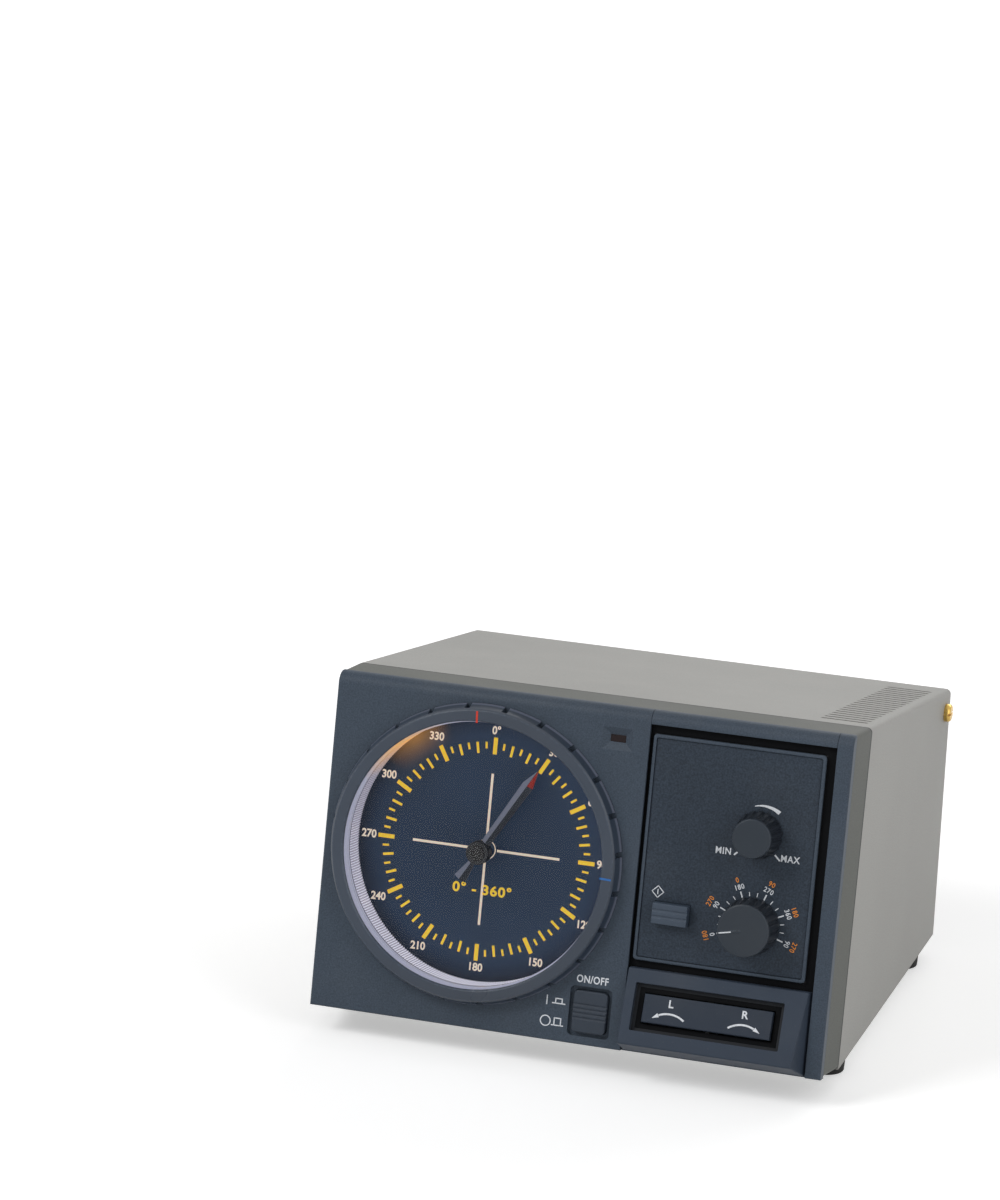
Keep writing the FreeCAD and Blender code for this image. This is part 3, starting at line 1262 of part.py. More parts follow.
def power_button():
    """Square push button with finger grooves and a stem into its switch."""
    half_x, half_z = POWER_WIDTH / 2, POWER_HEIGHT / 2
    cap = slab(POWER_X - half_x, POWER_X + half_x, POWER_Z - half_z, POWER_Z + half_z,
               -POWER_PROUD, POWER_CAP - POWER_PROUD, POWER_ROUND)
    cap = round_edges(cap, SOFT_EDGE, lambda edge: abs(edge.CenterOfMass.y + POWER_PROUD) < NEAR)
    first = POWER_Z - (POWER_GROOVES - 1) / 2 * POWER_GROOVE_PITCH
    axis_y = -POWER_PROUD + GROOVE_DEPTH - POWER_GROOVE_RADIUS
    grooves = []
    for index in range(POWER_GROOVES):
        z = first + index * POWER_GROOVE_PITCH
        grooves.append(rod_x(axis_y, z, POWER_GROOVE_RADIUS, POWER_X - half_x - OVERCUT,
                             POWER_X + half_x + OVERCUT))
    half_stem = POWER_STEM / 2
    stem_start = POWER_CAP - POWER_PROUD
    stem = box(POWER_X - half_stem, POWER_X + half_stem, stem_start, stem_start + POWER_STEM_LENGTH,
               POWER_Z - half_stem, POWER_Z + half_stem)
    return join([carve(cap, grooves), stem])


def power_switch():
    """Push-push mains switch held between the moulding's cage walls."""
    half_x, half_z = power_switch_half(), POWER_SWITCH_HEIGHT / 2
    y0 = power_switch_front()
    body = box(POWER_X - half_x, POWER_X + half_x, y0, y0 + POWER_SWITCH_LENGTH,
               POWER_Z - half_z, POWER_Z + half_z)
    body = round_edges(body, SOFT_EDGE, lambda edge: along(edge, 1))
    half_well = POWER_STEM / 2 + BUTTON_FIT
    well_end = POWER_CAP - POWER_PROUD + POWER_STEM_LENGTH + POWER_TRAVEL + END_GAP
    well = box(POWER_X - half_well, POWER_X + half_well, y0 - OVERCUT, well_end,
               POWER_Z - half_well, POWER_Z + half_well)
    end = y0 + POWER_SWITCH_LENGTH
    pieces = [body.cut(well)]
    for dx in (-BLADE_OFFSET, BLADE_OFFSET):
        for dz in (-BLADE_OFFSET, BLADE_OFFSET):
            x, z = POWER_X + dx, POWER_Z + dz
            pieces.append(box(x - BLADE_SHEET / 2, x + BLADE_SHEET / 2, end, end + BLADE_LENGTH,
                              z - BLADE_WIDTH / 2, z + BLADE_WIDTH / 2))
    return join(pieces)


# ---------------------------------------------------------------- knobs and potentiometers
def knob(x, z, back_radius, face_radius):
    """Fluted, tapered knob with a hollow back."""
    back = PLATE_FACE - KNOB_LIFT
    front = back - KNOB_HEIGHT
    body = cone_y(x, z, face_radius, back_radius, front, back)
    body = round_edges(body, SOFT_EDGE, lambda edge: abs(edge.CenterOfMass.y - front) < NEAR)
    flutes = []
    for index in range(FLUTE_COUNT):
        angle = (index + 0.5) * 360 / FLUTE_COUNT
        low = clockwise(x, z, face_radius + FLUTE_OUT, angle)
        high = clockwise(x, z, back_radius + FLUTE_OUT, angle)
        start = Vector(low[0], front + FLUTE_START, low[1])
        end = Vector(high[0], back + OVERCUT, high[1])
        flutes.append(Part.makeCylinder(FLUTE_RADIUS, (end - start).Length, start, end - start))
    cavity = rod_y(x, z, face_radius - KNOB_WALL, back - KNOB_CAVITY, back + OVERCUT)
    bore = rod_y(x, z, SPINDLE_RADIUS, front + SPINDLE_TIP, back + OVERCUT)
    return carve(body, [flutes[0].multiFuse(flutes[1:]), cavity, bore])


def speed_knob():
    return knob(SPEED_X, SPEED_Z, SPEED_BACK_RADIUS, SPEED_FACE_RADIUS)


def preset_knob():
    """The larger knob, with a raised index line on its face."""
    front = PLATE_FACE - KNOB_LIFT - KNOB_HEIGHT
    line = box(PRESET_X - INDEX_WIDTH / 2, PRESET_X + INDEX_WIDTH / 2, front - INDEX_PROUD,
               front + SOFT_EDGE, PRESET_Z + INDEX_START,
               PRESET_Z + PRESET_FACE_RADIUS - INDEX_MARGIN)
    body = knob(PRESET_X, PRESET_Z, PRESET_BACK_RADIUS, PRESET_FACE_RADIUS)
    return join([body, turn_clockwise(line, PRESET_X, PRESET_Z, PRESET_REST)])


def spindle(x, z):
    """Potentiometer spindle, from the knob into the body."""
    front = PLATE_FACE - KNOB_LIFT - KNOB_HEIGHT + SPINDLE_TIP
    return rod_y(x, z, SPINDLE_RADIUS, front, INSERT_SEAT + POT_LENGTH / 2)


def pot(x, z):
    """Potentiometer: a round body on the board and a threaded bushing through the plate."""
    body = rod_y(x, z, POT_RADIUS, INSERT_SEAT, CONTROL_BOARD_FACE)
    bushing = rod_y(x, z, BUSHING_RADIUS, PLATE_FACE - NUT_HEIGHT, INSERT_SEAT)
    bore = rod_y(x, z, SPINDLE_RADIUS + SHAFT_FIT, PLATE_FACE - NUT_HEIGHT - OVERCUT,
                 INSERT_SEAT + POT_LENGTH / 2 + END_GAP)
    return join([body, bushing]).cut(bore)


def pot_nuts():
    nuts = []
    for x, z in ((SPEED_X, SPEED_Z), (PRESET_X, PRESET_Z)):
        corners = [clockwise(x, z, NUT_RADIUS, angle) for angle in range(0, 360, 60)]
        nut = prism_y(corners, PLATE_FACE - NUT_HEIGHT, PLATE_FACE)
        nuts.append(nut.cut(rod_y(x, z, BUSHING_RADIUS + SCREW_GRIP,
                                  PLATE_FACE - NUT_HEIGHT - OVERCUT, PLATE_FACE + OVERCUT)))
    return group(nuts)


# ---------------------------------------------------------------- start button and tact switches
def start_button():
    """Small rectangular push button with two finger grooves."""
    front = PLATE_FACE - START_PROUD
    half_x, half_z = START_WIDTH / 2, START_HEIGHT / 2
    flange_start = INSERT_SEAT + BUTTON_FIT
    cap = box(START_X - half_x, START_X + half_x, front, flange_start + START_FLANGE / 2,
              START_Z - half_z, START_Z + half_z)
    cap = round_edges(cap, FINE_EDGE, lambda edge: edge.CenterOfMass.y < INSERT_SEAT)
    axis_y = front + GROOVE_DEPTH - START_GROOVE_RADIUS
    grooves = [rod_x(axis_y, START_Z + side * START_GROOVE_PITCH / 2, START_GROOVE_RADIUS,
                     START_X - half_x - OVERCUT, START_X + half_x + OVERCUT) for side in (-1, 1)]
    flange = box(START_X - half_x - START_FLANGE, START_X + half_x + START_FLANGE, flange_start,
                 flange_start + START_FLANGE, START_Z - half_z - START_FLANGE,
                 START_Z + half_z + START_FLANGE)
    stem_end = tact_front() + TACT_WELL - START_TRAVEL - END_GAP
    stem = rod_y(START_X, START_Z, START_STEM, flange_start, stem_end)
    return join([carve(cap, grooves), flange, stem])


def tact_front():
    return CONTROL_BOARD_FACE - TACT_HEIGHT


def tact_switch(x, z, back, well_radius):
    """Square switch on a board, with the well that its button's stem enters."""
    half = TACT_SIDE / 2
    body = box(x - half, x + half, back - TACT_HEIGHT, back, z - half, z + half)
    return body.cut(rod_y(x, z, well_radius, back - TACT_HEIGHT - OVERCUT,
                          back - TACT_HEIGHT + TACT_WELL))


def tact_switches():
    """One switch for the start button and one under each end of the rocker."""
    switches = [tact_switch(START_X, START_Z, CONTROL_BOARD_FACE, START_STEM + BUTTON_FIT)]
    for side in (-1, 1):
        switches.append(on_block(tact_switch(ROCKER_X + side * ROCKER_REACH, ROCKER_MID,
                                             rocker_floor(), ROCKER_FINGER + ROCKER_WELL_GAP)))
    return group(switches)


# ---------------------------------------------------------------- direction rocker
def rocker_floor():
    """Back of the rocker's chamber, on the block's own frame."""
    return RECESS_DEPTH + ROCKER_THICKNESS + ROCKER_EAR + TACT_HEIGHT


def pin_depth():
    """Pin's centre behind the block's front."""
    return ROCKER_SETBACK + ROCKER_THICKNESS + ROCKER_EAR / 2


def rocker_bezel():
    """Wedge-shaped block that frames the rocker and carries its pin."""
    back = INSERT_STEP
    run = BLOCK_PROUD_LOW + back
    outline = [(back, BLOCK_LOW - BLOCK_BEVEL_Z), (-BLOCK_PROUD_LOW, BLOCK_LOW),
               (-BLOCK_PROUD_HIGH, BLOCK_HIGH), (back, BLOCK_HIGH)]
    block = prism_x(outline, BLOCK_LEFT, BLOCK_RIGHT + BLOCK_BEVEL_X)
    far = BLOCK_RIGHT + 2 * BLOCK_BEVEL_X
    before = -BLOCK_PROUD_LOW - OVERCUT
    low = -OVERCUT
    slice_x = Part.Face(Part.makePolygon([
        Vector(BLOCK_RIGHT, -BLOCK_PROUD_LOW, low), Vector(BLOCK_RIGHT + BLOCK_BEVEL_X, back, low),
        Vector(far, back, low), Vector(far, before, low),
        Vector(BLOCK_RIGHT - BLOCK_BEVEL_X * OVERCUT / run, before, low),
        Vector(BLOCK_RIGHT, -BLOCK_PROUD_LOW, low)]))
    block = block.cut(slice_x.extrude(Vector(0, 0, BLOCK_HIGH + 2 * OVERCUT)))
    block = round_edges(block, SOFT_EDGE, lambda edge: edge.CenterOfMass.y < back - OVERCUT)
    half_x, half_z = ROCKER_WIDTH / 2, ROCKER_HEIGHT / 2
    chamber = on_block(box(ROCKER_X - half_x - ROCKER_GAP, ROCKER_X + half_x + ROCKER_GAP, -OVERCUT,
                           rocker_floor(), ROCKER_MID - half_z - ROCKER_GAP,
                           ROCKER_MID + half_z + ROCKER_GAP))
    recess = on_block(slab(ROCKER_X - half_x - RECESS_MARGIN_X, ROCKER_X + half_x + RECESS_MARGIN_X,
                           ROCKER_MID - half_z - RECESS_MARGIN_Z, ROCKER_MID + half_z + RECESS_MARGIN_Z,
                           -2 * OVERCUT, RECESS_DEPTH, SOFT_EDGE))
    wall = box(ROCKER_X - half_x - RECESS_MARGIN_X, ROCKER_X + half_x + RECESS_MARGIN_X, 0,
               rocker_floor() + BOARD_SHEET, ROCKER_MID - half_z - RECESS_MARGIN_Z,
               ROCKER_MID + half_z + RECESS_MARGIN_Z)
    housing = on_block(wall).cut(box(0, HALF_WIDTH, -2 * BLOCK_PROUD_LOW, back - BLOCK_LAP, 0,
                                     FACE_HEIGHT))
    pin_hole = on_block(rod_z(ROCKER_X, pin_depth(), PIN_RADIUS, ROCKER_MID - pin_half(),
                              ROCKER_MID + pin_half()))
    return carve(join([block, housing]), [chamber, recess, pin_hole])


def pin_half():
    """Half the length of the rocker's pin."""
    return ROCKER_HEIGHT / 2 + ROCKER_GAP + PIN_SEAT


def rocker_pin():
    return on_block(rod_z(ROCKER_X, pin_depth(), PIN_RADIUS, ROCKER_MID - pin_half(),
                          ROCKER_MID + pin_half()))


def rocker_plate():
    """Single plate that tips left or right about its middle."""
    half_x, half_z = ROCKER_WIDTH / 2, ROCKER_HEIGHT / 2
    front = ROCKER_SETBACK
    back = front + ROCKER_THICKNESS
    plate = box(ROCKER_X - half_x, ROCKER_X + half_x, front, back, ROCKER_MID - half_z,
                ROCKER_MID + half_z)
    plate = round_edges(plate, FINE_EDGE, lambda edge: abs(edge.CenterOfMass.y - front) < NEAR)
    ear = box(ROCKER_X - ROCKER_EAR_WIDTH / 2, ROCKER_X + ROCKER_EAR_WIDTH / 2, back,
              back + ROCKER_EAR, ROCKER_MID - half_z, ROCKER_MID + half_z)
    pieces = [plate, ear]
    dip = ROCKER_REACH * math.sin(math.radians(ROCKER_TILT))
    finger_end = rocker_floor() - TACT_HEIGHT + TACT_WELL - dip - 2 * END_GAP
    for side in (-1, 1):
        pieces.append(rod_y(ROCKER_X + side * ROCKER_REACH, ROCKER_MID, ROCKER_FINGER, back, finger_end))
    bore = rod_z(ROCKER_X, pin_depth(), PIN_RADIUS + SHAFT_FIT, ROCKER_MID - half_z - OVERCUT,
                 ROCKER_MID + half_z + OVERCUT)
    return on_block(join(pieces).cut(bore))


# ---------------------------------------------------------------- control board
def control_board():
    board = box(CONTROL_BOARD_LEFT, CONTROL_BOARD_RIGHT, CONTROL_BOARD_FACE,
                CONTROL_BOARD_FACE + BOARD_SHEET, CONTROL_BOARD_LOW, CONTROL_BOARD_HIGH)
    holes = [clearance(Vector(x, CONTROL_BOARD_FACE + BOARD_SHEET + OVERCUT, z), FORWARD,
                       BOARD_SHEET + 2 * OVERCUT)
             for x, z in control_board_places()]
    return carve(board, holes)


# ---------------------------------------------------------------- power supply and main board
def core_low():
    return FLOOR_TOP + STRAP_SHEET


def transformer_core():
    """Laminated core with two windows for the coil."""
    x, y, low = TRANSFORMER_X, TRANSFORMER_Y, core_low()
    half = CORE_WIDTH / 2
    core = box(x - half, x + half, y - CORE_STACK / 2, y + CORE_STACK / 2, low, low + CORE_HEIGHT)
    windows = []
    for side in (-1, 1):
        x0, x1 = sorted((x + side * CORE_LEG / 2, x + side * (half - CORE_YOKE)))
        windows.append(box(x0, x1, y - CORE_STACK, y + CORE_STACK, low + CORE_YOKE,
                           low + CORE_HEIGHT - CORE_YOKE))
    return carve(core, windows)


def transformer_coil():
    """Winding on the core's middle leg."""
    x, y, low = TRANSFORMER_X, TRANSFORMER_Y, core_low()
    half_x = CORE_WIDTH / 2 - CORE_YOKE - COIL_GAP
    half_y = CORE_STACK / 2 + COIL_OVERHANG
    z0, z1 = low + CORE_YOKE + COIL_GAP, low + CORE_HEIGHT - CORE_YOKE - COIL_GAP
    coil = box(x - half_x, x + half_x, y - half_y, y + half_y, z0, z1)
    coil = round_edges(coil, COIL_CORNER, lambda edge: along(edge, 2))
    leg = box(x - CORE_LEG / 2, x + CORE_LEG / 2, y - CORE_STACK / 2, y + CORE_STACK / 2,
              z0 - OVERCUT, z1 + OVERCUT)
    return coil.cut(leg)


def transformer_strap():
    """Steel strap over the core with a screwed foot on each side."""
    x, y, low = TRANSFORMER_X, TRANSFORMER_Y, core_low()
    half = CORE_WIDTH / 2
    sheet = STRAP_SHEET
    reach = half + sheet + STRAP_FOOT
    half_y = CORE_STACK / 2
    high = low + CORE_HEIGHT
    band = box(x - half - sheet, x + half + sheet, y - half_y, y + half_y, FLOOR_TOP, high + sheet)
    band = band.cut(box(x - half, x + half, y - half_y - OVERCUT, y + half_y + OVERCUT, low, high))
    feet = box(x - reach, x + reach, y - STRAP_FOOT_WIDTH / 2, y + STRAP_FOOT_WIDTH / 2,
               FLOOR_TOP, FLOOR_TOP + sheet)
    holes = [pilot(Vector(px, py, FLOOR_TOP - OVERCUT), UP, sheet + 2 * OVERCUT)
             for px, py in strap_screw_places()]
    return carve(join([band, feet]), holes)


def main_board():
    half_x, half_y = BOARD_WIDTH / 2, BOARD_LENGTH / 2
    low = FLOOR_TOP + STANDOFF_HEIGHT
    board = box(BOARD_X - half_x, BOARD_X + half_x, BOARD_Y - half_y, BOARD_Y + half_y, low, BOARD_TOP)
    holes = [clearance(Vector(x, y, low - OVERCUT), UP, BOARD_SHEET + 2 * OVERCUT)
             for x, y in standoff_places()]
    return carve(board, holes)


def filter_capacitors():
    cans = []
    for index in range(CAPACITOR_COUNT):
        x = BOARD_X - BOARD_WIDTH / 2 + CAPACITOR_INSET_X + CAPACITOR_RADIUS
        first = BOARD_Y - BOARD_LENGTH / 2 + CAPACITOR_INSET_Y + CAPACITOR_RADIUS
        y = first + index * (2 * CAPACITOR_RADIUS + CAPACITOR_GAP)
        top = BOARD_TOP + CAPACITOR_HEIGHT
        can = rod_z(x, y, CAPACITOR_RADIUS, BOARD_TOP, top)
        cans.append(round_edges(can, 2 * SOFT_EDGE, lambda edge: edge.CenterOfMass.z > top - NEAR))
    return group(cans)


def sink_place():
    """Front corner of the heat sink on the board: x of its plate, first y."""
    return BOARD_X + BOARD_WIDTH / 2 - SINK_INSET, BOARD_Y - SINK_LENGTH / 2


def heat_sink():
    """Bent aluminium angle that cools the driver transistors."""
    x, y = sink_place()
    plate = box(x, x + SINK_SHEET, y, y + SINK_LENGTH, BOARD_TOP, BOARD_TOP + SINK_HEIGHT)
    foot = box(x, x + SINK_FOOT, y, y + SINK_LENGTH, BOARD_TOP, BOARD_TOP + SINK_SHEET)
    pitch = (SINK_LENGTH - FIN_SHEET) / (SINK_FINS - 1)
    fins = [box(x, x + FIN_DEPTH, y + index * pitch, y + index * pitch + FIN_SHEET, BOARD_TOP,
                BOARD_TOP + SINK_HEIGHT) for index in range(SINK_FINS)]
    sink = join([plate, foot] + fins)
    return carve(sink, [rod_x(py, pz, SCREW_RADIUS + SCREW_GRIP, x - OVERCUT, x + SINK_FOOT)
                        for py, pz in transistor_places()])


def transistor_places():
    """Transistor screws on the heat sink: (y, z)."""
    _, y = sink_place()
    return [(y + SINK_LENGTH * share, BOARD_TOP + TRANSISTOR_RISE) for share in TRANSISTOR_SHARES]


def power_transistors():
    x, _ = sink_place()
    packages = []
    front = x - TRANSISTOR_THICKNESS
    leg_x = x - TRANSISTOR_THICKNESS / 2
    half = TRANSISTOR_WIDTH / 2
    for y, z in transistor_places():
        top = z + TRANSISTOR_TAB
        low = top - TRANSISTOR_HEIGHT
        package = box(front, x, y - half, y + half, low, top)
        package = round_edges(package, SOFT_EDGE, lambda edge: edge.CenterOfMass.x < front + NEAR)
        legs = [box(leg_x - LEG_SHEET / 2, leg_x + LEG_SHEET / 2, y + dy - LEG_WIDTH / 2,
                    y + dy + LEG_WIDTH / 2, BOARD_TOP, low) for dy in (-LEG_PITCH, 0.0, LEG_PITCH)]
        package = join([package] + legs)
        packages.append(package.cut(rod_x(y, z, SCREW_RADIUS + SCREW_PASS, front - OVERCUT,
                                          x + OVERCUT)))
    return group(packages)


# ---------------------------------------------------------------- rear connections
def rotator_socket():
    """Round multi-contact socket for the rotator's cable."""
    outer = SOCKET_BORE + SOCKET_WALL
    half = SOCKET_FLANGE / 2
    flange = slab(SOCKET_X - half, SOCKET_X + half, SOCKET_Z - half, SOCKET_Z + half, PANEL_BACK,
                  PANEL_BACK + SOCKET_FLANGE_SHEET, SOCKET_FLANGE_CORNER)
    shell = rod_y(SOCKET_X, SOCKET_Z, outer, PANEL_FRONT - SOCKET_BODY, PANEL_BACK + SOCKET_DEPTH)
    mouth = rod_y(SOCKET_X, SOCKET_Z, SOCKET_BORE, PANEL_BACK, PANEL_BACK + SOCKET_DEPTH + OVERCUT)
    holes = [mouth]
    places = [(SOCKET_X, SOCKET_Z)]
    for index in range(SOCKET_CONTACTS - 1):
        angle = index * 360 / (SOCKET_CONTACTS - 1)
        places.append(clockwise(SOCKET_X, SOCKET_Z, CONTACT_CIRCLE, angle))
    holes += [rod_y(x, z, CONTACT_RADIUS, PANEL_BACK - CONTACT_DEPTH, PANEL_BACK + OVERCUT)
              for x, z in places]
    holes += [clearance(Vector(x, PANEL_BACK + SOCKET_FLANGE_SHEET + OVERCUT, z), FORWARD,
                        SOCKET_FLANGE_SHEET + 2 * OVERCUT) for x, z in socket_screw_places()]
    return carve(join([flange, shell]), holes)


def control_jack():
    """Small round jack for a remote controller, flush with its groove and contacts."""
    body = rod_y(JACK_X, JACK_Z, JACK_RADIUS, PANEL_FRONT - JACK_BODY, PANEL_BACK + JACK_FLANGE)
    flange = rod_y(JACK_X, JACK_Z, JACK_FLANGE_RADIUS, PANEL_BACK, PANEL_BACK + JACK_FLANGE)
    face = PANEL_BACK + JACK_FLANGE
    holes = [tube_y(JACK_X, JACK_Z, JACK_GROOVE_OUTER, JACK_GROOVE_INNER, face - JACK_GROOVE_DEPTH,
                    face + OVERCUT)]
    for index in range(JACK_CONTACTS):
        x, z = clockwise(JACK_X, JACK_Z, JACK_CONTACT_CIRCLE, index * 360 / JACK_CONTACTS)
        holes.append(rod_y(x, z, JACK_CONTACT_RADIUS, face - JACK_CONTACT_DEPTH, face + OVERCUT))
    return carve(join([body, flange]), holes)


def fuse_holder():
    """Panel fuse holder; its cap turns in the flanged mouth."""
    body = rod_y(FUSE_X, FUSE_Z, FUSE_RADIUS, PANEL_FRONT - FUSE_BODY, PANEL_BACK)
    flange = rod_y(FUSE_X, FUSE_Z, FUSE_FLANGE_RADIUS, PANEL_BACK, PANEL_BACK + FUSE_FLANGE_SHEET)
    mouth = PANEL_BACK + FUSE_FLANGE_SHEET
    flange = round_edges(flange, SOFT_EDGE, lambda edge: edge.CenterOfMass.y > mouth - NEAR)
    well = rod_y(FUSE_X, FUSE_Z, FUSE_CAP_RADIUS + SHAFT_FIT, mouth - FUSE_CAP_DEPTH - END_GAP,
                 mouth + OVERCUT)
    tube = rod_y(FUSE_X, FUSE_Z, FUSE_TUBE, PANEL_FRONT - FUSE_BODY + FUSE_END_WALL, mouth)
    return carve(join([body, flange]), [well, tube])


def fuse_cap():
    """Bayonet cap with a screwdriver slot."""
    mouth = PANEL_BACK + FUSE_FLANGE_SHEET
    end = mouth + FUSE_CAP_PROUD
    plug = rod_y(FUSE_X, FUSE_Z, FUSE_CAP_RADIUS, mouth - FUSE_CAP_DEPTH, mouth + END_GAP)
    head = rod_y(FUSE_X, FUSE_Z, FUSE_HEAD_RADIUS, mouth + END_GAP, end)
    head = round_edges(head, SOFT_EDGE, lambda edge: edge.CenterOfMass.y > end - NEAR)
    slot = box(FUSE_X - FUSE_SLOT_LENGTH / 2, FUSE_X + FUSE_SLOT_LENGTH / 2, end - FUSE_SLOT_DEPTH,
               end + OVERCUT, FUSE_Z - FUSE_SLOT_WIDTH / 2, FUSE_Z + FUSE_SLOT_WIDTH / 2)
    return join([plug, head]).cut(slot)


def cord_gland():
    """Bushing that the mains cord comes out of."""
    out = PANEL_BACK + GLAND_PROUD
    body = rod_y(GLAND_X, GLAND_Z, GLAND_RADIUS, PANEL_FRONT - GLAND_BODY, PANEL_BACK)
    flange = cone_y(GLAND_X, GLAND_Z, GLAND_FLANGE_RADIUS, GLAND_RADIUS, PANEL_BACK, out)
    flange = round_edges(flange, SOFT_EDGE, lambda edge: edge.CenterOfMass.y > out - NEAR)
    bore = rod_y(GLAND_X, GLAND_Z, CORD_RADIUS, PANEL_FRONT - GLAND_BODY - OVERCUT, out + OVERCUT)
    return join([body, flange]).cut(bore)


def ground_stud():
    """Earth terminal: a stud through the rear panel, its head inside."""
    head = rod_y(STUD_X, STUD_Z, STUD_HEAD_RADIUS, PANEL_FRONT - STUD_HEAD_HEIGHT, PANEL_FRONT)
    return join([head, rod_y(STUD_X, STUD_Z, STUD_RADIUS, PANEL_FRONT, PANEL_BACK + STUD_PROUD)])


def ground_nut():
    """Wing nut on the earth stud."""
    end = PANEL_BACK + WING_NUT_HEIGHT
    hub = rod_y(STUD_X, STUD_Z, WING_NUT_RADIUS, PANEL_BACK, end)
    wings = box(STUD_X - WING_SPAN, STUD_X + WING_SPAN, PANEL_BACK + WING_BASE, end + WING_RISE,
                STUD_Z - WING_SHEET / 2, STUD_Z + WING_SHEET / 2)
    wings = round_edges(wings, WING_CORNER, lambda edge: along(edge, 2) and edge.CenterOfMass.y > end)
    dish = rod_y(STUD_X, STUD_Z, WING_NUT_RADIUS - NUT_DISH_WALL, end, end + WING_RISE + OVERCUT)
    thread = rod_y(STUD_X, STUD_Z, STUD_RADIUS + SCREW_GRIP, PANEL_BACK - OVERCUT, end + OVERCUT)
    return carve(join([hub, wings]), [dish, thread])


def trimmer_height():
    """Centre of the adjusters above the desk: they stand on the main board."""
    return BOARD_TOP + TRIMMER_BODY / 2


def trimmer_front():
    """Front of the adjusters' bodies, at the board's rear edge."""
    return BOARD_Y + BOARD_LENGTH / 2 - TRIMMER_DEPTH


def trimmer_bodies():
    bodies = []
    half = TRIMMER_BODY / 2
    z = trimmer_height()
    back = trimmer_front() + TRIMMER_DEPTH
    for x in TRIMMER_X:
        body = box(x - half, x + half, trimmer_front(), back, z - half, z + half)
        well = rod_y(x, z, TRIMMER_RADIUS + SHAFT_FIT, back - TRIMMER_DEPTH / 2 - END_GAP,
                     back + OVERCUT)
        bodies.append(body.cut(well))
    return group(bodies)


def trimmer_rotor(x):
    """Screwdriver-slotted rotor that reaches to its hole in the rear panel."""
    z = trimmer_height()
    back = trimmer_front() + TRIMMER_DEPTH
    end = PANEL_FRONT - END_GAP
    rotor = rod_y(x, z, TRIMMER_RADIUS, back - TRIMMER_DEPTH / 2, end)
    reach = TRIMMER_RADIUS + OVERCUT
    slot = box(x - reach, x + reach, end - TRIMMER_SLOT_DEPTH, end + OVERCUT, z - TRIMMER_SLOT / 2,
               z + TRIMMER_SLOT / 2)
    return rotor.cut(slot)


# ---------------------------------------------------------------- all the small steel screws
def pan_head_screws():
    screws = []
    screws += [screw(Vector(x, y, FOOT_SEAT), UP) for x, y in foot_places()]
    for x, y in lug_places() + panel_screw_places() + strap_screw_places():
        screws.append(screw(Vector(x, y, FOOT_HEIGHT), UP))
    screws += [screw(Vector(x, y, BOARD_TOP), DOWN) for x, y in standoff_places()]
    sink_x, _ = sink_place()
    for y, z in transistor_places():
        screws.append(screw(Vector(sink_x - TRANSISTOR_THICKNESS, y, z), Vector(1, 0, 0)))
    flange_back = PANEL_BACK + SOCKET_FLANGE_SHEET
    screws += [screw(Vector(x, flange_back, z), FORWARD) for x, z in socket_screw_places()]
    front = [screw(Vector(x, FRONT_PLATE_BACK, z), FORWARD) for x, z in dial_plate_places()]
    front += [screw(Vector(x, BACK_PLATE_BACK, z), FORWARD) for x, z in post_places()]
    front += [screw(Vector(x, ledge_back(), z), FORWARD) for x, z in corner_places()]
    board_back = CONTROL_BOARD_FACE + BOARD_SHEET
    front += [screw(Vector(x, board_back, z), FORWARD) for x, z in control_board_places()]
    return group(screws + [to_bench(piece) for piece in front])


# ---------------------------------------------------------------- the whole controller
FACE_PIECES = {
    "front_panel": front_panel,
    "overlap_window": overlap_window,
    "control_insert": control_insert,
    "control_plate": control_plate,
    "bezel_ring": bezel_ring,
    "dial_lens": dial_lens,
    "light_ring": light_ring,
    "dial_face": dial_face,
    "pointer": pointer,
    "pointer_cap": pointer_cap,
    "pointer_shaft": pointer_shaft,
    "pointer_gear": pointer_gear,
    "motor_pinion": motor_pinion,
    "feedback_gear": feedback_gear,
    "gearbox_front_plate": gearbox_front_plate,
    "gearbox_back_plate": gearbox_back_plate,
    "gearbox_posts": gearbox_posts,
    "indicator_motor": indicator_motor,
    "feedback_pot": feedback_pot,
    "indicator_lamps": indicator_lamps,
    "power_button": power_button,
    "power_switch": power_switch,
    "speed_knob": speed_knob,
    "preset_knob": preset_knob,
    "speed_spindle": lambda: spindle(SPEED_X, SPEED_Z),
    "preset_spindle": lambda: spindle(PRESET_X, PRESET_Z),
    "speed_pot": lambda: pot(SPEED_X, SPEED_Z),
    "preset_pot": lambda: pot(PRESET_X, PRESET_Z),
    "pot_nuts": pot_nuts,
    "start_button": start_button,
    "tact_switches": tact_switches,
    "rocker_bezel": rocker_bezel,
    "rocker_pin": rocker_pin,
    "rocker_plate": rocker_plate,
    "control_board": control_board,
}

BENCH_PIECES = {
    "front_surround": front_surround,
    "top_cover": top_cover,
    "bottom_chassis": bottom_chassis,
    "rear_panel": rear_panel,
    "rubber_feet": rubber_feet,
    "cover_screws": cover_screws,
    "pan_head_screws": pan_head_screws,
    "transformer_core": transformer_core,
    "transformer_coil": transformer_coil,
    "transformer_strap": transformer_strap,
    "main_board": main_board,
    "filter_capacitors": filter_capacitors,
    "heat_sink": heat_sink,
    "power_transistors": power_transistors,
    "rotator_socket": rotator_socket,
    "control_jack": control_jack,
    "fuse_holder": fuse_holder,
    "fuse_cap": fuse_cap,
    "cord_gland": cord_gland,
    "ground_stud": ground_stud,
    "ground_nut": ground_nut,
    "trimmer_bodies": trimmer_bodies,
    "scale_trimmer": lambda: trimmer_rotor(TRIMMER_X[0]),
    "output_trimmer": lambda: trimmer_rotor(TRIMMER_X[1]),
}


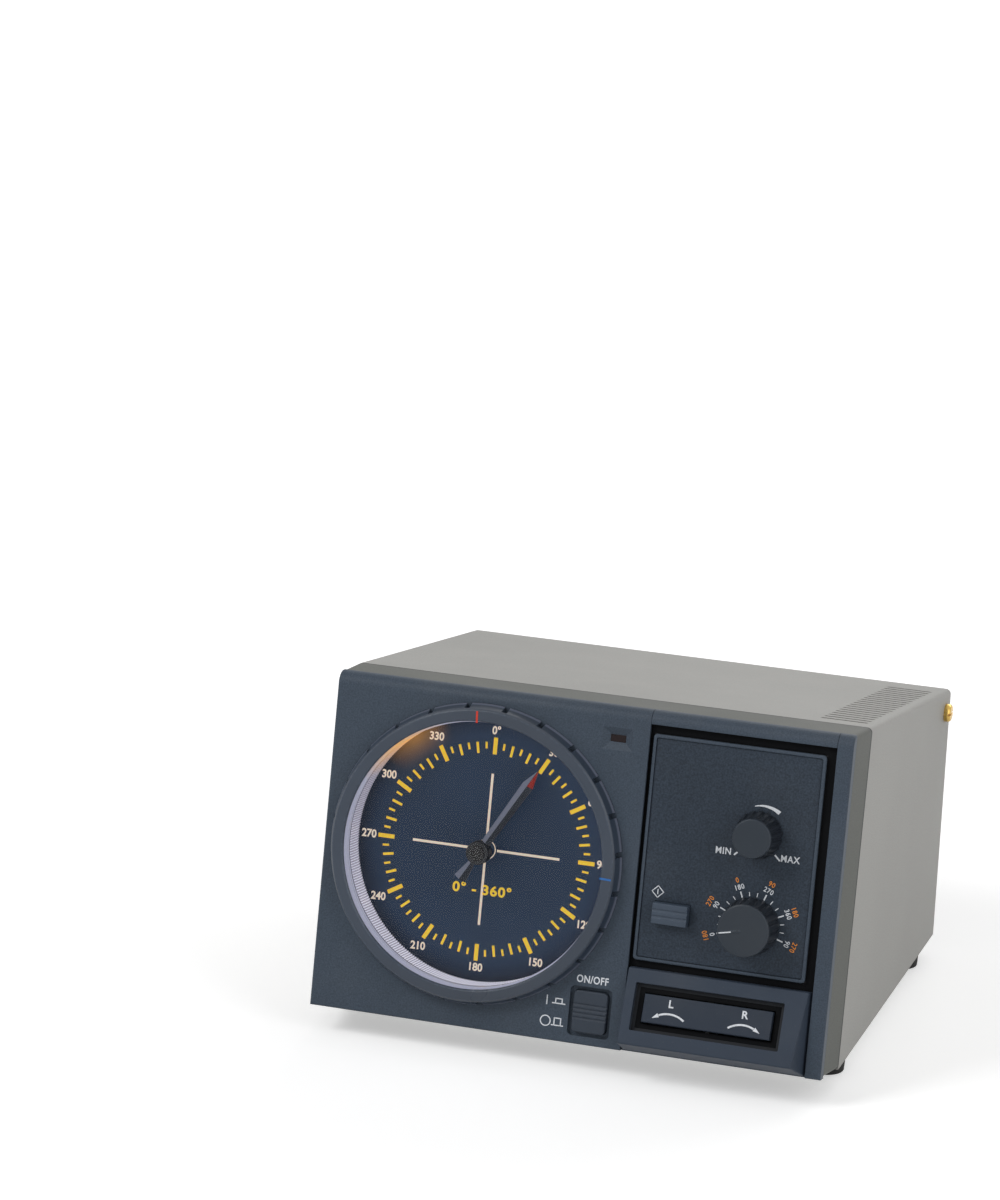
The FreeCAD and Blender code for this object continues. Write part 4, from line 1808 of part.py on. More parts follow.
def frontmost():
    """Bench Y of the point that stands furthest forward: the rocker block's lower edge."""
    return bench_point(0, -BLOCK_PROUD_LOW, BLOCK_LOW).y


def rearmost():
    """Bench Y of the point that stands furthest back: the end of the earth stud."""
    return PANEL_BACK + STUD_PROUD


# The origin is on the desk, under the middle of the controller.
CENTRE_Y = (frontmost() + rearmost()) / 2


def centred(shape):
    moved = shape.copy()
    moved.translate(Vector(0, -CENTRE_Y, 0))
    return moved


def build():
    pieces = {name: to_bench(make()) for name, make in FACE_PIECES.items()}
    pieces.update({name: make() for name, make in BENCH_PIECES.items()})
    return {name: centred(shape) for name, shape in pieces.items()}


os.makedirs("parts", exist_ok=True)
PIECES = build()
for node_name, piece in PIECES.items():
    piece.exportStep("parts/" + node_name + ".step")
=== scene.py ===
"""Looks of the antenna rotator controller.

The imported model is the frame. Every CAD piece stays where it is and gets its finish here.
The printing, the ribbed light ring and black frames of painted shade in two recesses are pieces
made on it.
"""
import json
import math

import bmesh
import bpy
from mathutils import Matrix, Vector

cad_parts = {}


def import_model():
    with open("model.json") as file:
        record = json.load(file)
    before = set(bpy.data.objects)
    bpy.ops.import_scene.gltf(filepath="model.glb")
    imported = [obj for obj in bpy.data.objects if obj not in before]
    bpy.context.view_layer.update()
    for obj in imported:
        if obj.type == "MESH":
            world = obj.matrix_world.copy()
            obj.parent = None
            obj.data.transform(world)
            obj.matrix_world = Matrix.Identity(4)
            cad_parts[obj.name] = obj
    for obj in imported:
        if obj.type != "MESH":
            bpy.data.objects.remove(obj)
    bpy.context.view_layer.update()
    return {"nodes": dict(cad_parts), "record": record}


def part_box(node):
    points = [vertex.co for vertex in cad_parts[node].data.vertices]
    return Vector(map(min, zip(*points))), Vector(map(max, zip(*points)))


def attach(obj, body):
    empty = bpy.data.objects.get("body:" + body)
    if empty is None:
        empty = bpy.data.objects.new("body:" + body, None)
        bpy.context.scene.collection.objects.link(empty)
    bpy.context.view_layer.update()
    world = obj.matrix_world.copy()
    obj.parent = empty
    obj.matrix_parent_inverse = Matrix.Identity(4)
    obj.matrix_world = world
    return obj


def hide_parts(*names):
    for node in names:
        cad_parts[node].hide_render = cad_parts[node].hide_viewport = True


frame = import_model()

# ------------------------------------------------------------------ the frame
MM = 0.001
LEAN = math.radians(9.0)       # the front leans back by this much
FOOT_HEIGHT = 7.0              # mm, underside of the case above the desk
SURROUND_DEPTH = 26.0          # mm, front surround; the lean turns about its back edge
CENTRE_Y = 102.04              # mm, middle of the case behind the front surround's own origin

# In the front's own frame X is to the right, Z up the face and Y into the case, from the face.
FACE = (
    Matrix.Translation(Vector((0, SURROUND_DEPTH - CENTRE_Y, FOOT_HEIGHT)) * MM)
    @ Matrix.Rotation(-LEAN, 4, "X")
    @ Matrix.Translation(Vector((0, -SURROUND_DEPTH, 0)) * MM)
)
INK = 0.06                     # mm, how far printing stands proud

DIAL = (-39.5, 65.9)           # mm, centre of the dial on the face
DIAL_DEPTH = 13.5              # mm, printed dial behind the face
DIAL_RADIUS = 51.5             # mm, outside of the light ring
RING_FRONT = -5.5              # mm, front of the turning ring
RING_OUTER = 56.5              # mm, lands of its skirt
RIB_COUNT = 330                # ribs of the light ring
POINTER_AZIMUTH = 31.0         # degrees, at rest
POINTER_LENGTH = 39.0          # mm, from its axis
POINTER_TIP = 7.0              # mm, red end
PLATE_FACE = 0.8               # mm, control plate behind the face
SPEED = (67.0, 87.3)           # mm, middle of the speed knob
PRESET = (67.2, 53.3)          # mm, middle of the preset knob
KNOB_FRONT = -11.7             # mm, front of both knobs
PRESET_REST = -102.0           # degrees, where the preset knob's line stands
ROCKER = (55.2, 14.4)          # mm, middle of the direction rocker, on its block
BLOCK_LEAN = -15.31            # degrees, the rocker's block on the face
BLOCK_START = (-8.0, 4.7)      # mm, Y and Z of the block's lower edge
ROCKER_BACK = 0.5              # mm, rocker plate behind the block's face
ROCKER_WELL = 2.6              # mm, floor of its recess behind the block's face
TRAY_FLOOR = 2.2               # mm, floor of the tray round the control plate
INDEX_PROUD = 0.25             # mm, raised line on the preset knob


def on_face(x, y, z, turn=0.0):
    """A drawing plane on the front: X right, Y up the face, Z out of it; turned clockwise."""
    return (
        FACE
        @ Matrix.Translation(Vector((x, y, z)) * MM)
        @ Matrix.Rotation(math.radians(turn), 4, "Y")
        @ Matrix.Rotation(math.radians(90), 4, "X")
    )


def on_block(x, y, z):
    """A drawing plane on the rocker's leaning block."""
    y0, z0 = BLOCK_START
    return (
        FACE
        @ Matrix.Translation(Vector((0, y0, z0)) * MM)
        @ Matrix.Rotation(math.radians(BLOCK_LEAN), 4, "X")
        @ Matrix.Translation(Vector((x, y, z)) * MM)
        @ Matrix.Rotation(math.radians(90), 4, "X")
    )


def on_rocker(x, z):
    """A drawing plane on the direction rocker."""
    return on_block(x, ROCKER_BACK, z)


def on_back(x, z):
    """A drawing plane on the rear panel, as seen from behind."""
    return (
        Matrix.Translation(Vector((x * MM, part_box("rear_panel")[1][1], z * MM)))
        @ Matrix.Rotation(math.pi, 4, "Z")
        @ Matrix.Rotation(math.radians(90), 4, "X")
    )


# ------------------------------------------------------------------ colours and nodes
def paint(red, green, blue):
    """A colour given as it looks on a screen, 0 to 255, as the shader wants it."""
    def linear(value):
        value /= 255
        return value / 12.92 if value <= 0.04045 else ((value + 0.055) / 1.055) ** 2.4
    return (linear(red), linear(green), linear(blue), 1.0)


def shade(colour, factor):
    """The colour made lighter or darker by a factor."""
    return tuple(min(channel * factor, 1.0) for channel in colour[:3]) + (1.0,)


def join(tree, value, socket):
    """Links another node's output to a socket, or sets the socket to a value."""
    if isinstance(value, bpy.types.NodeSocket):
        tree.links.new(value, socket)
    else:
        socket.default_value = value


def put(tree, kind, inputs=None, **settings):
    """Adds a shader node; an input is a value or another node's output."""
    node = tree.nodes.new("ShaderNode" + kind)
    for name, value in settings.items():
        setattr(node, name, value)
    for name, value in (inputs or {}).items():
        join(tree, value, node.inputs[name])
    return node


def maths(tree, operation, first, second=0.0, clamp=False):
    node = put(tree, "Math", {0: first, 1: second}, operation=operation, use_clamp=clamp)
    return node.outputs[0]


def blend_colour(tree, factor, first, second, mode="MIX"):
    node = put(tree, "Mix", data_type="RGBA", blend_type=mode)
    for name, value in (("Factor", factor), ("A", first), ("B", second)):
        join(tree, value, next(s for s in node.inputs if s.name == name and s.enabled))
    return next(s for s in node.outputs if s.enabled)


def spread(tree, value, low, high, to_low=0.0, to_high=1.0):
    """Carries the range from low to high over to another one, and stops at its ends."""
    return put(tree, "MapRange", {"Value": value, "From Min": low, "From Max": high,
                                  "To Min": to_low, "To Max": to_high}).outputs[0]


def vary(tree, noisy, low, high):
    """Spreads the usual range of a noise from low to high."""
    return spread(tree, noisy, 0.3, 0.7, low, high)


def toned(tree, colour, tone):
    """A colour times a factor."""
    grey = put(tree, "CombineColor", {"Red": tone, "Green": tone, "Blue": tone}).outputs[0]
    return blend_colour(tree, 1.0, colour, grey, "MULTIPLY")


def here(tree):
    """Object coordinates, in metres."""
    return put(tree, "TexCoord").outputs["Object"]


def noise(tree, scale, detail):
    """Noise over the object's coordinates; the scale is in patterns to the metre."""
    node = put(tree, "TexNoise", {"Vector": here(tree), "Scale": scale, "Detail": detail})
    return node.outputs["Fac"]


def relief(tree, height, strength, distance, normal=None):
    """A bumped normal; the distance is the height of the bumps in metres."""
    inputs = {"Height": height, "Strength": strength, "Distance": distance}
    if normal is not None:
        inputs["Normal"] = normal
    return put(tree, "Bump", inputs).outputs[0]


def in_mm(tree, matrix):
    """Object coordinates in millimetres, in the frame that the matrix gives."""
    back = matrix.inverted()
    node = put(tree, "Mapping", {"Vector": here(tree),
                                 "Location": back.translation / MM,
                                 "Rotation": back.to_euler(),
                                 "Scale": (1 / MM,) * 3}, vector_type="POINT")
    return put(tree, "SeparateXYZ", {"Vector": node.outputs[0]}).outputs


def far_from(tree, place, x=0.0, y=0.0):
    """Distance from a line through x and y along the place's own Z axis."""
    across = maths(tree, "POWER", maths(tree, "SUBTRACT", place["X"], x), 2.0)
    along = maths(tree, "POWER", maths(tree, "SUBTRACT", place["Y"], y), 2.0)
    return maths(tree, "SQRT", maths(tree, "ADD", across, along))


def group(name, inputs, outputs):
    """An empty node group with float or vector sockets; returns its tree and its ends."""
    tree = bpy.data.node_groups.new(name, "ShaderNodeTree")
    for label, kind, value in inputs:
        socket = tree.interface.new_socket(label, in_out="INPUT", socket_type="NodeSocket" + kind)
        socket.default_value = value
    for label, kind in outputs:
        tree.interface.new_socket(label, in_out="OUTPUT", socket_type="NodeSocket" + kind)
    return tree, tree.nodes.new("NodeGroupInput").outputs, tree.nodes.new("NodeGroupOutput").inputs


# Scales of the patterns, in patterns to the metre.
CHIPS = 900.0                  # along a rubbed edge
DUST_FILM = 40.0
DUST_SPECKS = 420.0
METAL_DRIFT = 60.0
LINE_STRETCH = 40.0            # a drawn line's length over its width


def make_worn_edges():
    """Mask of the outer edges, broken up where hands and tools have rubbed them; the finishes
    lighten it as wear and as a painted highlight.
    """
    tree, given, result = group(
        "worn and highlit edges", [("Width", "Float", 0.0004), ("Amount", "Float", 0.5)],
        [("Mask", "Float"), ("Normal", "Vector")])
    soft = put(tree, "Bevel", {"Radius": given["Width"]}, samples=4).outputs[0]
    flat = put(tree, "NewGeometry").outputs["Normal"]
    facing = put(tree, "VectorMath", {0: soft, 1: flat}, operation="DOT_PRODUCT").outputs["Value"]
    edge = spread(tree, facing, 0.995, 0.90)
    broken = spread(tree, noise(tree, CHIPS, 3.0), 0.38, 0.62)
    mask = maths(tree, "MULTIPLY", maths(tree, "MULTIPLY", edge, broken), given["Amount"], True)
    join(tree, mask, result["Mask"])
    join(tree, soft, result["Normal"])
    return tree


def make_moulded_grain():
    """Fine spark-eroded grain of a moulding: height, and a slow drift of tone over the surface."""
    tree, given, result = group(
        "moulded grain", [("Grain", "Float", 2600.0), ("Drift", "Float", 18.0)],
        [("Height", "Float"), ("Tone", "Float")])
    join(tree, noise(tree, given["Grain"], 2.0), result["Height"])
    join(tree, noise(tree, given["Drift"], 4.0), result["Tone"])
    return tree


def make_settled_dust():
    """Dust: more on faces that look up, in soft patches and single specks."""
    tree, given, result = group("settled dust", [("Amount", "Float", 0.2)], [("Mask", "Float")])
    up = put(tree, "SeparateXYZ", {"Vector": put(tree, "NewGeometry").outputs["Normal"]})
    flat = spread(tree, up.outputs["Z"], 0.1, 0.95, 0.25, 1.0)
    film = spread(tree, noise(tree, DUST_FILM, 5.0), 0.45, 0.75)
    speck = put(tree, "TexVoronoi", {"Vector": here(tree), "Scale": DUST_SPECKS})
    dots = spread(tree, speck.outputs["Distance"], 0.12, 0.04)
    both = maths(tree, "MAXIMUM", maths(tree, "MULTIPLY", film, 0.6), dots)
    mask = maths(tree, "MULTIPLY", maths(tree, "MULTIPLY", both, flat), given["Amount"], True)
    join(tree, mask, result["Mask"])
    return tree


def make_drawn_lines():
    """Fine parallel lines left by rolling, drawing or turning, along the frame's X axis."""
    tree, given, result = group(
        "drawn lines", [("Fineness", "Float", 1500.0)], [("Height", "Float"), ("Tone", "Float")])
    along = put(tree, "VectorMath", {0: here(tree), 1: (1 / LINE_STRETCH, 1.0, 1.0)},
                operation="MULTIPLY").outputs[0]
    lines = put(tree, "TexNoise", {"Vector": along, "Scale": given["Fineness"], "Detail": 2.0})
    join(tree, lines.outputs["Fac"], result["Height"])
    join(tree, noise(tree, METAL_DRIFT, 3.0), result["Tone"])
    return tree


WORN_HIGHLIT_EDGES = make_worn_edges()
MOULDED_GRAIN = make_moulded_grain()
SETTLED_DUST = make_settled_dust()
DRAWN_LINES = make_drawn_lines()


def use(tree, made, **inputs):
    """Adds one of the groups above with its settings."""
    node = tree.nodes.new("ShaderNodeGroup")
    node.node_tree = made
    for name, value in inputs.items():
        node.inputs[name].default_value = value
    return node.outputs


def new_finish(name):
    """A material with one Principled shader; returns the material, its tree and the shader."""
    material = bpy.data.materials.new(name)
    material.use_nodes = True
    tree = material.node_tree
    return material, tree, tree.nodes["Principled BSDF"]


def feed(tree, shader, **inputs):
    """Links outputs to the shader's sockets, or sets them; underscores stand for spaces."""
    for name, value in inputs.items():
        join(tree, value, shader.inputs[name.replace("_", " ")])


# ------------------------------------------------------------------ finishes
GRAIN_HEIGHT = 0.0001          # m, of a moulding's or a paint's grain
FINE_HEIGHT = 0.00005          # m, of ink, drawn lines and tracks
TONE_DRIFT = 0.10              # share by which a moulding's tone wanders
RECESS_EDGE = 0.2              # mm, over which a recess's painted shade fades in at its outline
RECESS_STEP = 0.15             # mm, the same to each side of its depth
RING_PAINTED_GLOW = (-33.0, 37.5, 19.0)     # mm, painted glow of a lamp: its X and Y from the dial's centre, and its reach
DIAL_PAINTED_GLOW = (-31.0, 38.5, 14.0)
HUB_REACH = 4.6                # mm, needle's hub from its axis
# Tone of painted shade, in the tray round the control plate and on the black frames.
SHADOW_BLACK = paint(21, 22, 24)
# Painted shade for the fluted sides of the knobs.
KNOB_SHADE = paint(32, 37, 44)


def recess_mask(tree, plane, half_x, half_y, depth):
    """1 in a recess: inside the outline about the plane's origin and deeper than this, in mm."""
    place = in_mm(tree, plane)
    across = spread(tree, maths(tree, "ABSOLUTE", place["X"]), half_x, half_x - RECESS_EDGE)
    along = spread(tree, maths(tree, "ABSOLUTE", place["Y"]), half_y, half_y - RECESS_EDGE)
    behind = spread(tree, place["Z"], RECESS_STEP - depth, -RECESS_STEP - depth)
    return maths(tree, "MULTIPLY", maths(tree, "MULTIPLY", across, along), behind)


def darken_recesses(tree, base, recesses):
    """Puts each recess's painted shade over a colour."""
    for plane, half_x, half_y, depth, tone in recesses:
        base = blend_colour(tree, recess_mask(tree, plane, half_x, half_y, depth), base, tone)
    return base


def moulding(name, colour, roughness=0.5, grain=2600.0, depth=0.15, wear_and_highlight=0.35, edge=0.0004,
             dust=0.12, specular=0.3, speckle=0.0, recesses=()):
    """Moulded or painted surface: grain, tone drift, edges lighter from rubbing and from a painted
    highlight, a little dust, and painted shade in the recesses it is given.
    """
    material, tree, shader = new_finish(name)
    skin = use(tree, MOULDED_GRAIN, Grain=grain)
    edges = use(tree, WORN_HIGHLIT_EDGES, Width=edge, Amount=wear_and_highlight)
    dusty = use(tree, SETTLED_DUST, Amount=dust)
    tone = vary(tree, skin["Tone"], 1.0 - TONE_DRIFT, 1.0 + TONE_DRIFT)
    if speckle:
        dots = spread(tree, skin["Height"], 0.32, 0.68, 1.0 - speckle, 1.0 + speckle)
        tone = maths(tree, "MULTIPLY", tone, dots)
    # Edges lighter both from wear and as a painted highlight.
    rubbed = blend_colour(tree, edges["Mask"], toned(tree, colour, tone), shade(colour, 2.4))
    dusted = blend_colour(tree, dusty["Mask"], rubbed, paint(150, 147, 140))
    feed(tree, shader, Base_Color=darken_recesses(tree, dusted, recesses),
         Roughness=vary(tree, skin["Tone"], roughness - 0.05, roughness + 0.06),
         Normal=relief(tree, skin["Height"], depth, GRAIN_HEIGHT, edges["Normal"]),
         Specular_IOR_Level=specular)
    return material


def speckled_paint(name, colour, light, dark, recesses):
    """Textured case paint: fine light and dark specks in an even coat, edges lighter from wear and
    from a painted highlight, and painted shade in the recesses it is given.
    """
    material, tree, shader = new_finish(name)
    edges = use(tree, WORN_HIGHLIT_EDGES, Width=0.0006, Amount=0.3)
    dusty = use(tree, SETTLED_DUST, Amount=0.10)
    coat = use(tree, MOULDED_GRAIN, Grain=1700.0, Drift=9.0)
    specks = noise(tree, 2100.0, 1.0)
    pale = spread(tree, specks, 0.58, 0.70, 0.0, 0.55)
    deep = spread(tree, specks, 0.42, 0.30, 0.0, 0.60)
    base = blend_colour(tree, deep, blend_colour(tree, pale, colour, light), dark)
    base = toned(tree, base, vary(tree, coat["Tone"], 0.95, 1.05))
    rubbed = blend_colour(tree, edges["Mask"], base, light)
    dusted = blend_colour(tree, dusty["Mask"], rubbed, paint(190, 186, 178))
    feed(tree, shader, Base_Color=darken_recesses(tree, dusted, recesses),
         Roughness=vary(tree, specks, 0.47, 0.63),
         Normal=relief(tree, coat["Height"], 0.35, GRAIN_HEIGHT, edges["Normal"]))
    return material


def worked_metal(name, colour, roughness, fineness, tarnish=0.25):
    """Bare or plated metal with drawing lines and slow staining."""
    material, tree, shader = new_finish(name)
    lines = use(tree, DRAWN_LINES, Fineness=fineness)
    edges = use(tree, WORN_HIGHLIT_EDGES, Width=0.0002, Amount=0.5)
    dull = spread(tree, lines["Tone"], 0.45, 0.70, 0.0, tarnish)
    base = blend_colour(tree, dull, colour, shade(colour, 0.45))
    # Edges lighter both from wear and as a painted highlight.
    feed(tree, shader, Base_Color=blend_colour(tree, edges["Mask"], base, shade(colour, 1.4)),
         Roughness=vary(tree, lines["Tone"], roughness - 0.08, roughness + 0.12), Metallic=1.0,
         Normal=relief(tree, lines["Height"], 0.12, FINE_HEIGHT, edges["Normal"]))
    return material


def printing(name, colour, glow=0.0):
    """Screen printed ink: slightly uneven in cover, matt; some of it with a painted glow, as if
    lit from behind.
    """
    material, tree, shader = new_finish(name)
    cover = noise(tree, 1400.0, 3.0)
    base = toned(tree, colour, spread(tree, cover, 0.35, 0.65, 0.86, 1.0))
    feed(tree, shader, Base_Color=base, Roughness=vary(tree, cover, 0.45, 0.6),
         Normal=relief(tree, cover, 0.1, FINE_HEIGHT))
    if glow:
        feed(tree, shader, Emission_Color=base, Emission_Strength=glow)
    return material


def lamp_light(tree, place, lamp):
    """Mask of a lamp's painted light: 1 beside the lamp and nothing at its reach."""
    x, y, reach = lamp
    return spread(tree, far_from(tree, place, x, y), reach, 0.0)


def dial_finish():
    """Dark blue printed dial: fine speckle, painted shade towards its rim, and a painted warm glow
    of a lamp's light near one lamp.
    """
    material, tree, shader = new_finish("dial_blue")
    place = in_mm(tree, on_face(DIAL[0], DIAL_DEPTH, DIAL[1]))
    radius = far_from(tree, place)
    skin = use(tree, MOULDED_GRAIN, Grain=2200.0, Drift=30.0)
    blue = toned(tree, paint(56, 76, 103), vary(tree, skin["Tone"], 0.9, 1.1))
    # Painted shade towards the dial's rim.
    base = blend_colour(tree, spread(tree, radius, 43.0, 51.0), blue, paint(34, 42, 54))
    # Painted glow of a lamp's light on the dial, given as emission.
    painted_glow = maths(tree, "MULTIPLY", lamp_light(tree, place, DIAL_PAINTED_GLOW),
                 spread(tree, radius, 40.0, 49.0))
    feed(tree, shader, Base_Color=base, Roughness=vary(tree, skin["Tone"], 0.40, 0.52),
         Normal=relief(tree, skin["Tone"], 0.1, GRAIN_HEIGHT), Specular_IOR_Level=0.2,
         Emission_Color=blend_colour(tree, painted_glow, (0, 0, 0, 1), paint(214, 150, 70)),
         Emission_Strength=0.38)
    return material


def needle_finish():
    """Ridged needle: one flank painted paler as a painted highlight and the other darker as
    painted shade, the end of the other one red, round a black hub.
    """
    material, tree, shader = new_finish("needle_grey")
    place = in_mm(tree, on_face(DIAL[0], 0, DIAL[1], POINTER_AZIMUTH))
    skin = use(tree, MOULDED_GRAIN, Grain=2400.0)
    # Painted highlight on the left flank and painted shade on the right one.
    left = maths(tree, "LESS_THAN", place["X"], 0.0)
    outside_hub = maths(tree, "GREATER_THAN", maths(tree, "ABSOLUTE", place["Y"]), HUB_REACH)
    pale = maths(tree, "MULTIPLY", left, outside_hub)
    grey = blend_colour(tree, pale, paint(44, 50, 62), paint(150, 158, 178))
    needle = blend_colour(tree, outside_hub, paint(26, 30, 36), grey)
    end = maths(tree, "GREATER_THAN", place["Y"], POINTER_LENGTH - POINTER_TIP)
    right = maths(tree, "GREATER_THAN", place["X"], 0.1)
    red_tip = maths(tree, "MULTIPLY", end, right)
    feed(tree, shader, Base_Color=blend_colour(tree, red_tip, needle, paint(196, 44, 30)),
         Roughness=vary(tree, skin["Tone"], 0.34, 0.46),
         Normal=relief(tree, skin["Height"], 0.15, FINE_HEIGHT))
    return material


def lens_finish():
    """Clear moulding: a thin polished skin that shows more of the room at a glancing view."""
    material, tree, shader = new_finish("lens_clear")
    gloss = put(tree, "Fresnel", {"IOR": 1.49}).outputs[0]
    smears = spread(tree, noise(tree, 55.0, 4.0), 0.4, 0.8, 0.02, 0.10)
    feed(tree, shader, Base_Color=paint(246, 248, 252), Metallic=1.0, Roughness=smears,
         Alpha=spread(tree, gloss, 0.04, 1.0, 0.004, 0.9))
    return material


def light_guide_finish():
    """Clear ribbed ring drawn with painted light: painted bright and dark lines over its ribs and
    bands, a painted silver sheen and a painted glow, warm near one lamp.
    """
    material, tree, shader = new_finish("light_guide_clear")
    place = in_mm(tree, on_face(DIAL[0], 0, DIAL[1]))
    grain = noise(tree, 900.0, 3.0)
    warm = lamp_light(tree, place, RING_PAINTED_GLOW)
    turn = maths(tree, "ARCTAN2", place["X"], place["Y"])
    ribs = maths(tree, "SINE", maths(tree, "MULTIPLY", turn, float(RIB_COUNT)))
    bands = maths(tree, "SINE", maths(tree, "MULTIPLY", place["Z"], 2.6))
    # Painted highlight and shade: bright and dark lines over the ribs, and over the smooth bands
    # in front of them.
    ribbed = blend_colour(tree, spread(tree, ribs, -0.6, 0.9),
                          paint(128, 124, 140), paint(222, 222, 234))
    smooth = blend_colour(tree, spread(tree, bands, 0.1, 1.0),
                          paint(168, 170, 190), paint(60, 60, 70))
    silver = blend_colour(tree, spread(tree, place["Z"], -3.6, -2.8), ribbed, smooth)
    clouded = blend_colour(tree, spread(tree, grain, 0.35, 0.65), silver,
                           shade(paint(200, 200, 214), 0.8))
    silver = blend_colour(tree, 0.18, silver, clouded)
    # Painted glow over the whole ring, warmer near the lamp.
    feed(tree, shader, Base_Color=blend_colour(tree, warm, silver, paint(226, 190, 140)),
         Roughness=vary(tree, grain, 0.20, 0.28), Emission_Strength=0.62,
         Emission_Color=blend_colour(tree, warm, silver, paint(236, 176, 104)))
    return material


def lamp_finish():
    """Frosted amber lamp, lit."""
    material, tree, shader = new_finish("lamp_amber")
    frost = noise(tree, 700.0, 3.0)
    glow = blend_colour(tree, frost, paint(255, 170, 80), paint(255, 205, 130))
    feed(tree, shader, Base_Color=glow, Roughness=vary(tree, frost, 0.2, 0.4),
         Emission_Color=glow, Emission_Strength=0.6)
    return material


def red_window_finish():
    """Dark red window with no light behind it."""
    material, tree, shader = new_finish("window_red")
    grain = noise(tree, 800.0, 2.0)
    feed(tree, shader, Base_Color=blend_colour(tree, grain, paint(14, 8, 9), paint(30, 13, 15)),
         Roughness=vary(tree, grain, 0.24, 0.36), Specular_IOR_Level=0.2)
    return material


def laminated_core():
    """Stacked, varnished transformer plates: fine lines along the stack."""
    material, tree, shader = new_finish("core_varnish")
    plates = put(tree, "TexWave", {"Vector": here(tree), "Scale": 320.0, "Distortion": 1.0,
                                   "Detail": 2.0},
                 wave_type="BANDS", bands_direction="Y").outputs["Fac"]
    feed(tree, shader, Base_Color=blend_colour(tree, plates, paint(48, 42, 38), paint(96, 88, 80)),
         Roughness=spread(tree, plates, 0, 1, 0.35, 0.55), Metallic=0.6,
         Normal=relief(tree, plates, 0.5, GRAIN_HEIGHT))
    return material


def coil_tape():
    """Yellow tape wound round the coil, with its laps and a slight gloss."""
    material, tree, shader = new_finish("coil_tape_yellow")
    laps = put(tree, "TexWave", {"Vector": here(tree), "Scale": 60.0, "Distortion": 2.0},
               wave_type="BANDS", bands_direction="Z", wave_profile="SAW").outputs["Fac"]
    feed(tree, shader, Roughness=spread(tree, laps, 0, 1, 0.3, 0.42),
         Base_Color=blend_colour(tree, laps, paint(198, 160, 48), paint(226, 190, 84)),
         Normal=relief(tree, laps, 0.4, 2 * GRAIN_HEIGHT))
    return material


def board_finish():
    """Green resist over copper tracks."""
    material, tree, shader = new_finish("board_green")
    tracks = put(tree, "TexBrick", {"Vector": here(tree), "Scale": 180.0, "Mortar Size": 0.12,
                                    "Color1": paint(30, 92, 52), "Color2": paint(36, 104, 60),
                                    "Mortar": paint(18, 66, 38)}).outputs
    feed(tree, shader, Base_Color=tracks["Color"],
         Roughness=vary(tree, noise(tree, 50.0, 2.0), 0.25, 0.4),
         Normal=relief(tree, tracks["Fac"], 0.3, FINE_HEIGHT))
    return material


def ring_finish():
    """Turning ring: slate, with the lands of its skirt painted paler than the notches as a painted
    highlight.
    """
    material = moulding("ring_slate", paint(48, 58, 72), roughness=0.32, depth=0.10, wear_and_highlight=0.8,
                        edge=0.0007, specular=0.45)
    tree = material.node_tree
    shader = tree.nodes["Principled BSDF"]
    place = in_mm(tree, on_face(DIAL[0], RING_FRONT, DIAL[1]))
    # Painted highlight on the lands of the skirt.
    outside = spread(tree, far_from(tree, place), RING_OUTER - 0.5, RING_OUTER - 0.3)
    lands = maths(tree, "MULTIPLY", outside, spread(tree, place["Z"], -0.5, -0.9))
    slate = shader.inputs["Base Color"].links[0].from_socket
    feed(tree, shader, Base_Color=blend_colour(tree, lands, slate, paint(100, 106, 122)))
    return material


# Each recess: its plane, half its width and height and its depth in mm, and the tone of its
# painted shade.
# Painted shade in the tray round the control plate and in the rocker's recess.
TRAY_SHADE = (on_face(56.8, 0, 77.2), 36.0, 46.0, 1.2, SHADOW_BLACK)
ROCKER_RECESS_SHADE = (on_block(ROCKER[0], 0, ROCKER[1]), 28.35, 9.0, 0.7, paint(28, 31, 36))
# Painted shade on the walls of the vent slots in the cover.
VENT_SHADE = (FACE @ Matrix.Translation(Vector((86.75, 98.6, 128.4)) * MM), 9.6, 62.5, 0.2,
         paint(10, 10, 10))
# Painted shade on the last millimetre of the surround, where the cover meets it.
SEAM_SHADE = (on_face(0, SURROUND_DEPTH, 65), 110.0, 80.0, -1.0, paint(48, 48, 47))
# Painted shade on the fluted sides of the two knobs.
SPEED_SIDE_SHADE = (on_face(SPEED[0], KNOB_FRONT, SPEED[1]), 12.0, 12.0, 0.9, KNOB_SHADE)
PRESET_SIDE_SHADE = (on_face(PRESET[0], KNOB_FRONT, PRESET[1]), 14.0, 14.0, 0.9, KNOB_SHADE)


def knob(name, side):
    """Slate knob with edges lighter from rubbing and from a painted highlight, and painted shade
    on its fluted side, darker than its front.
    """
    return moulding(name, paint(38, 46, 55), roughness=0.40, depth=0.12, wear_and_highlight=0.95, edge=0.0006,
                    recesses=(side,))


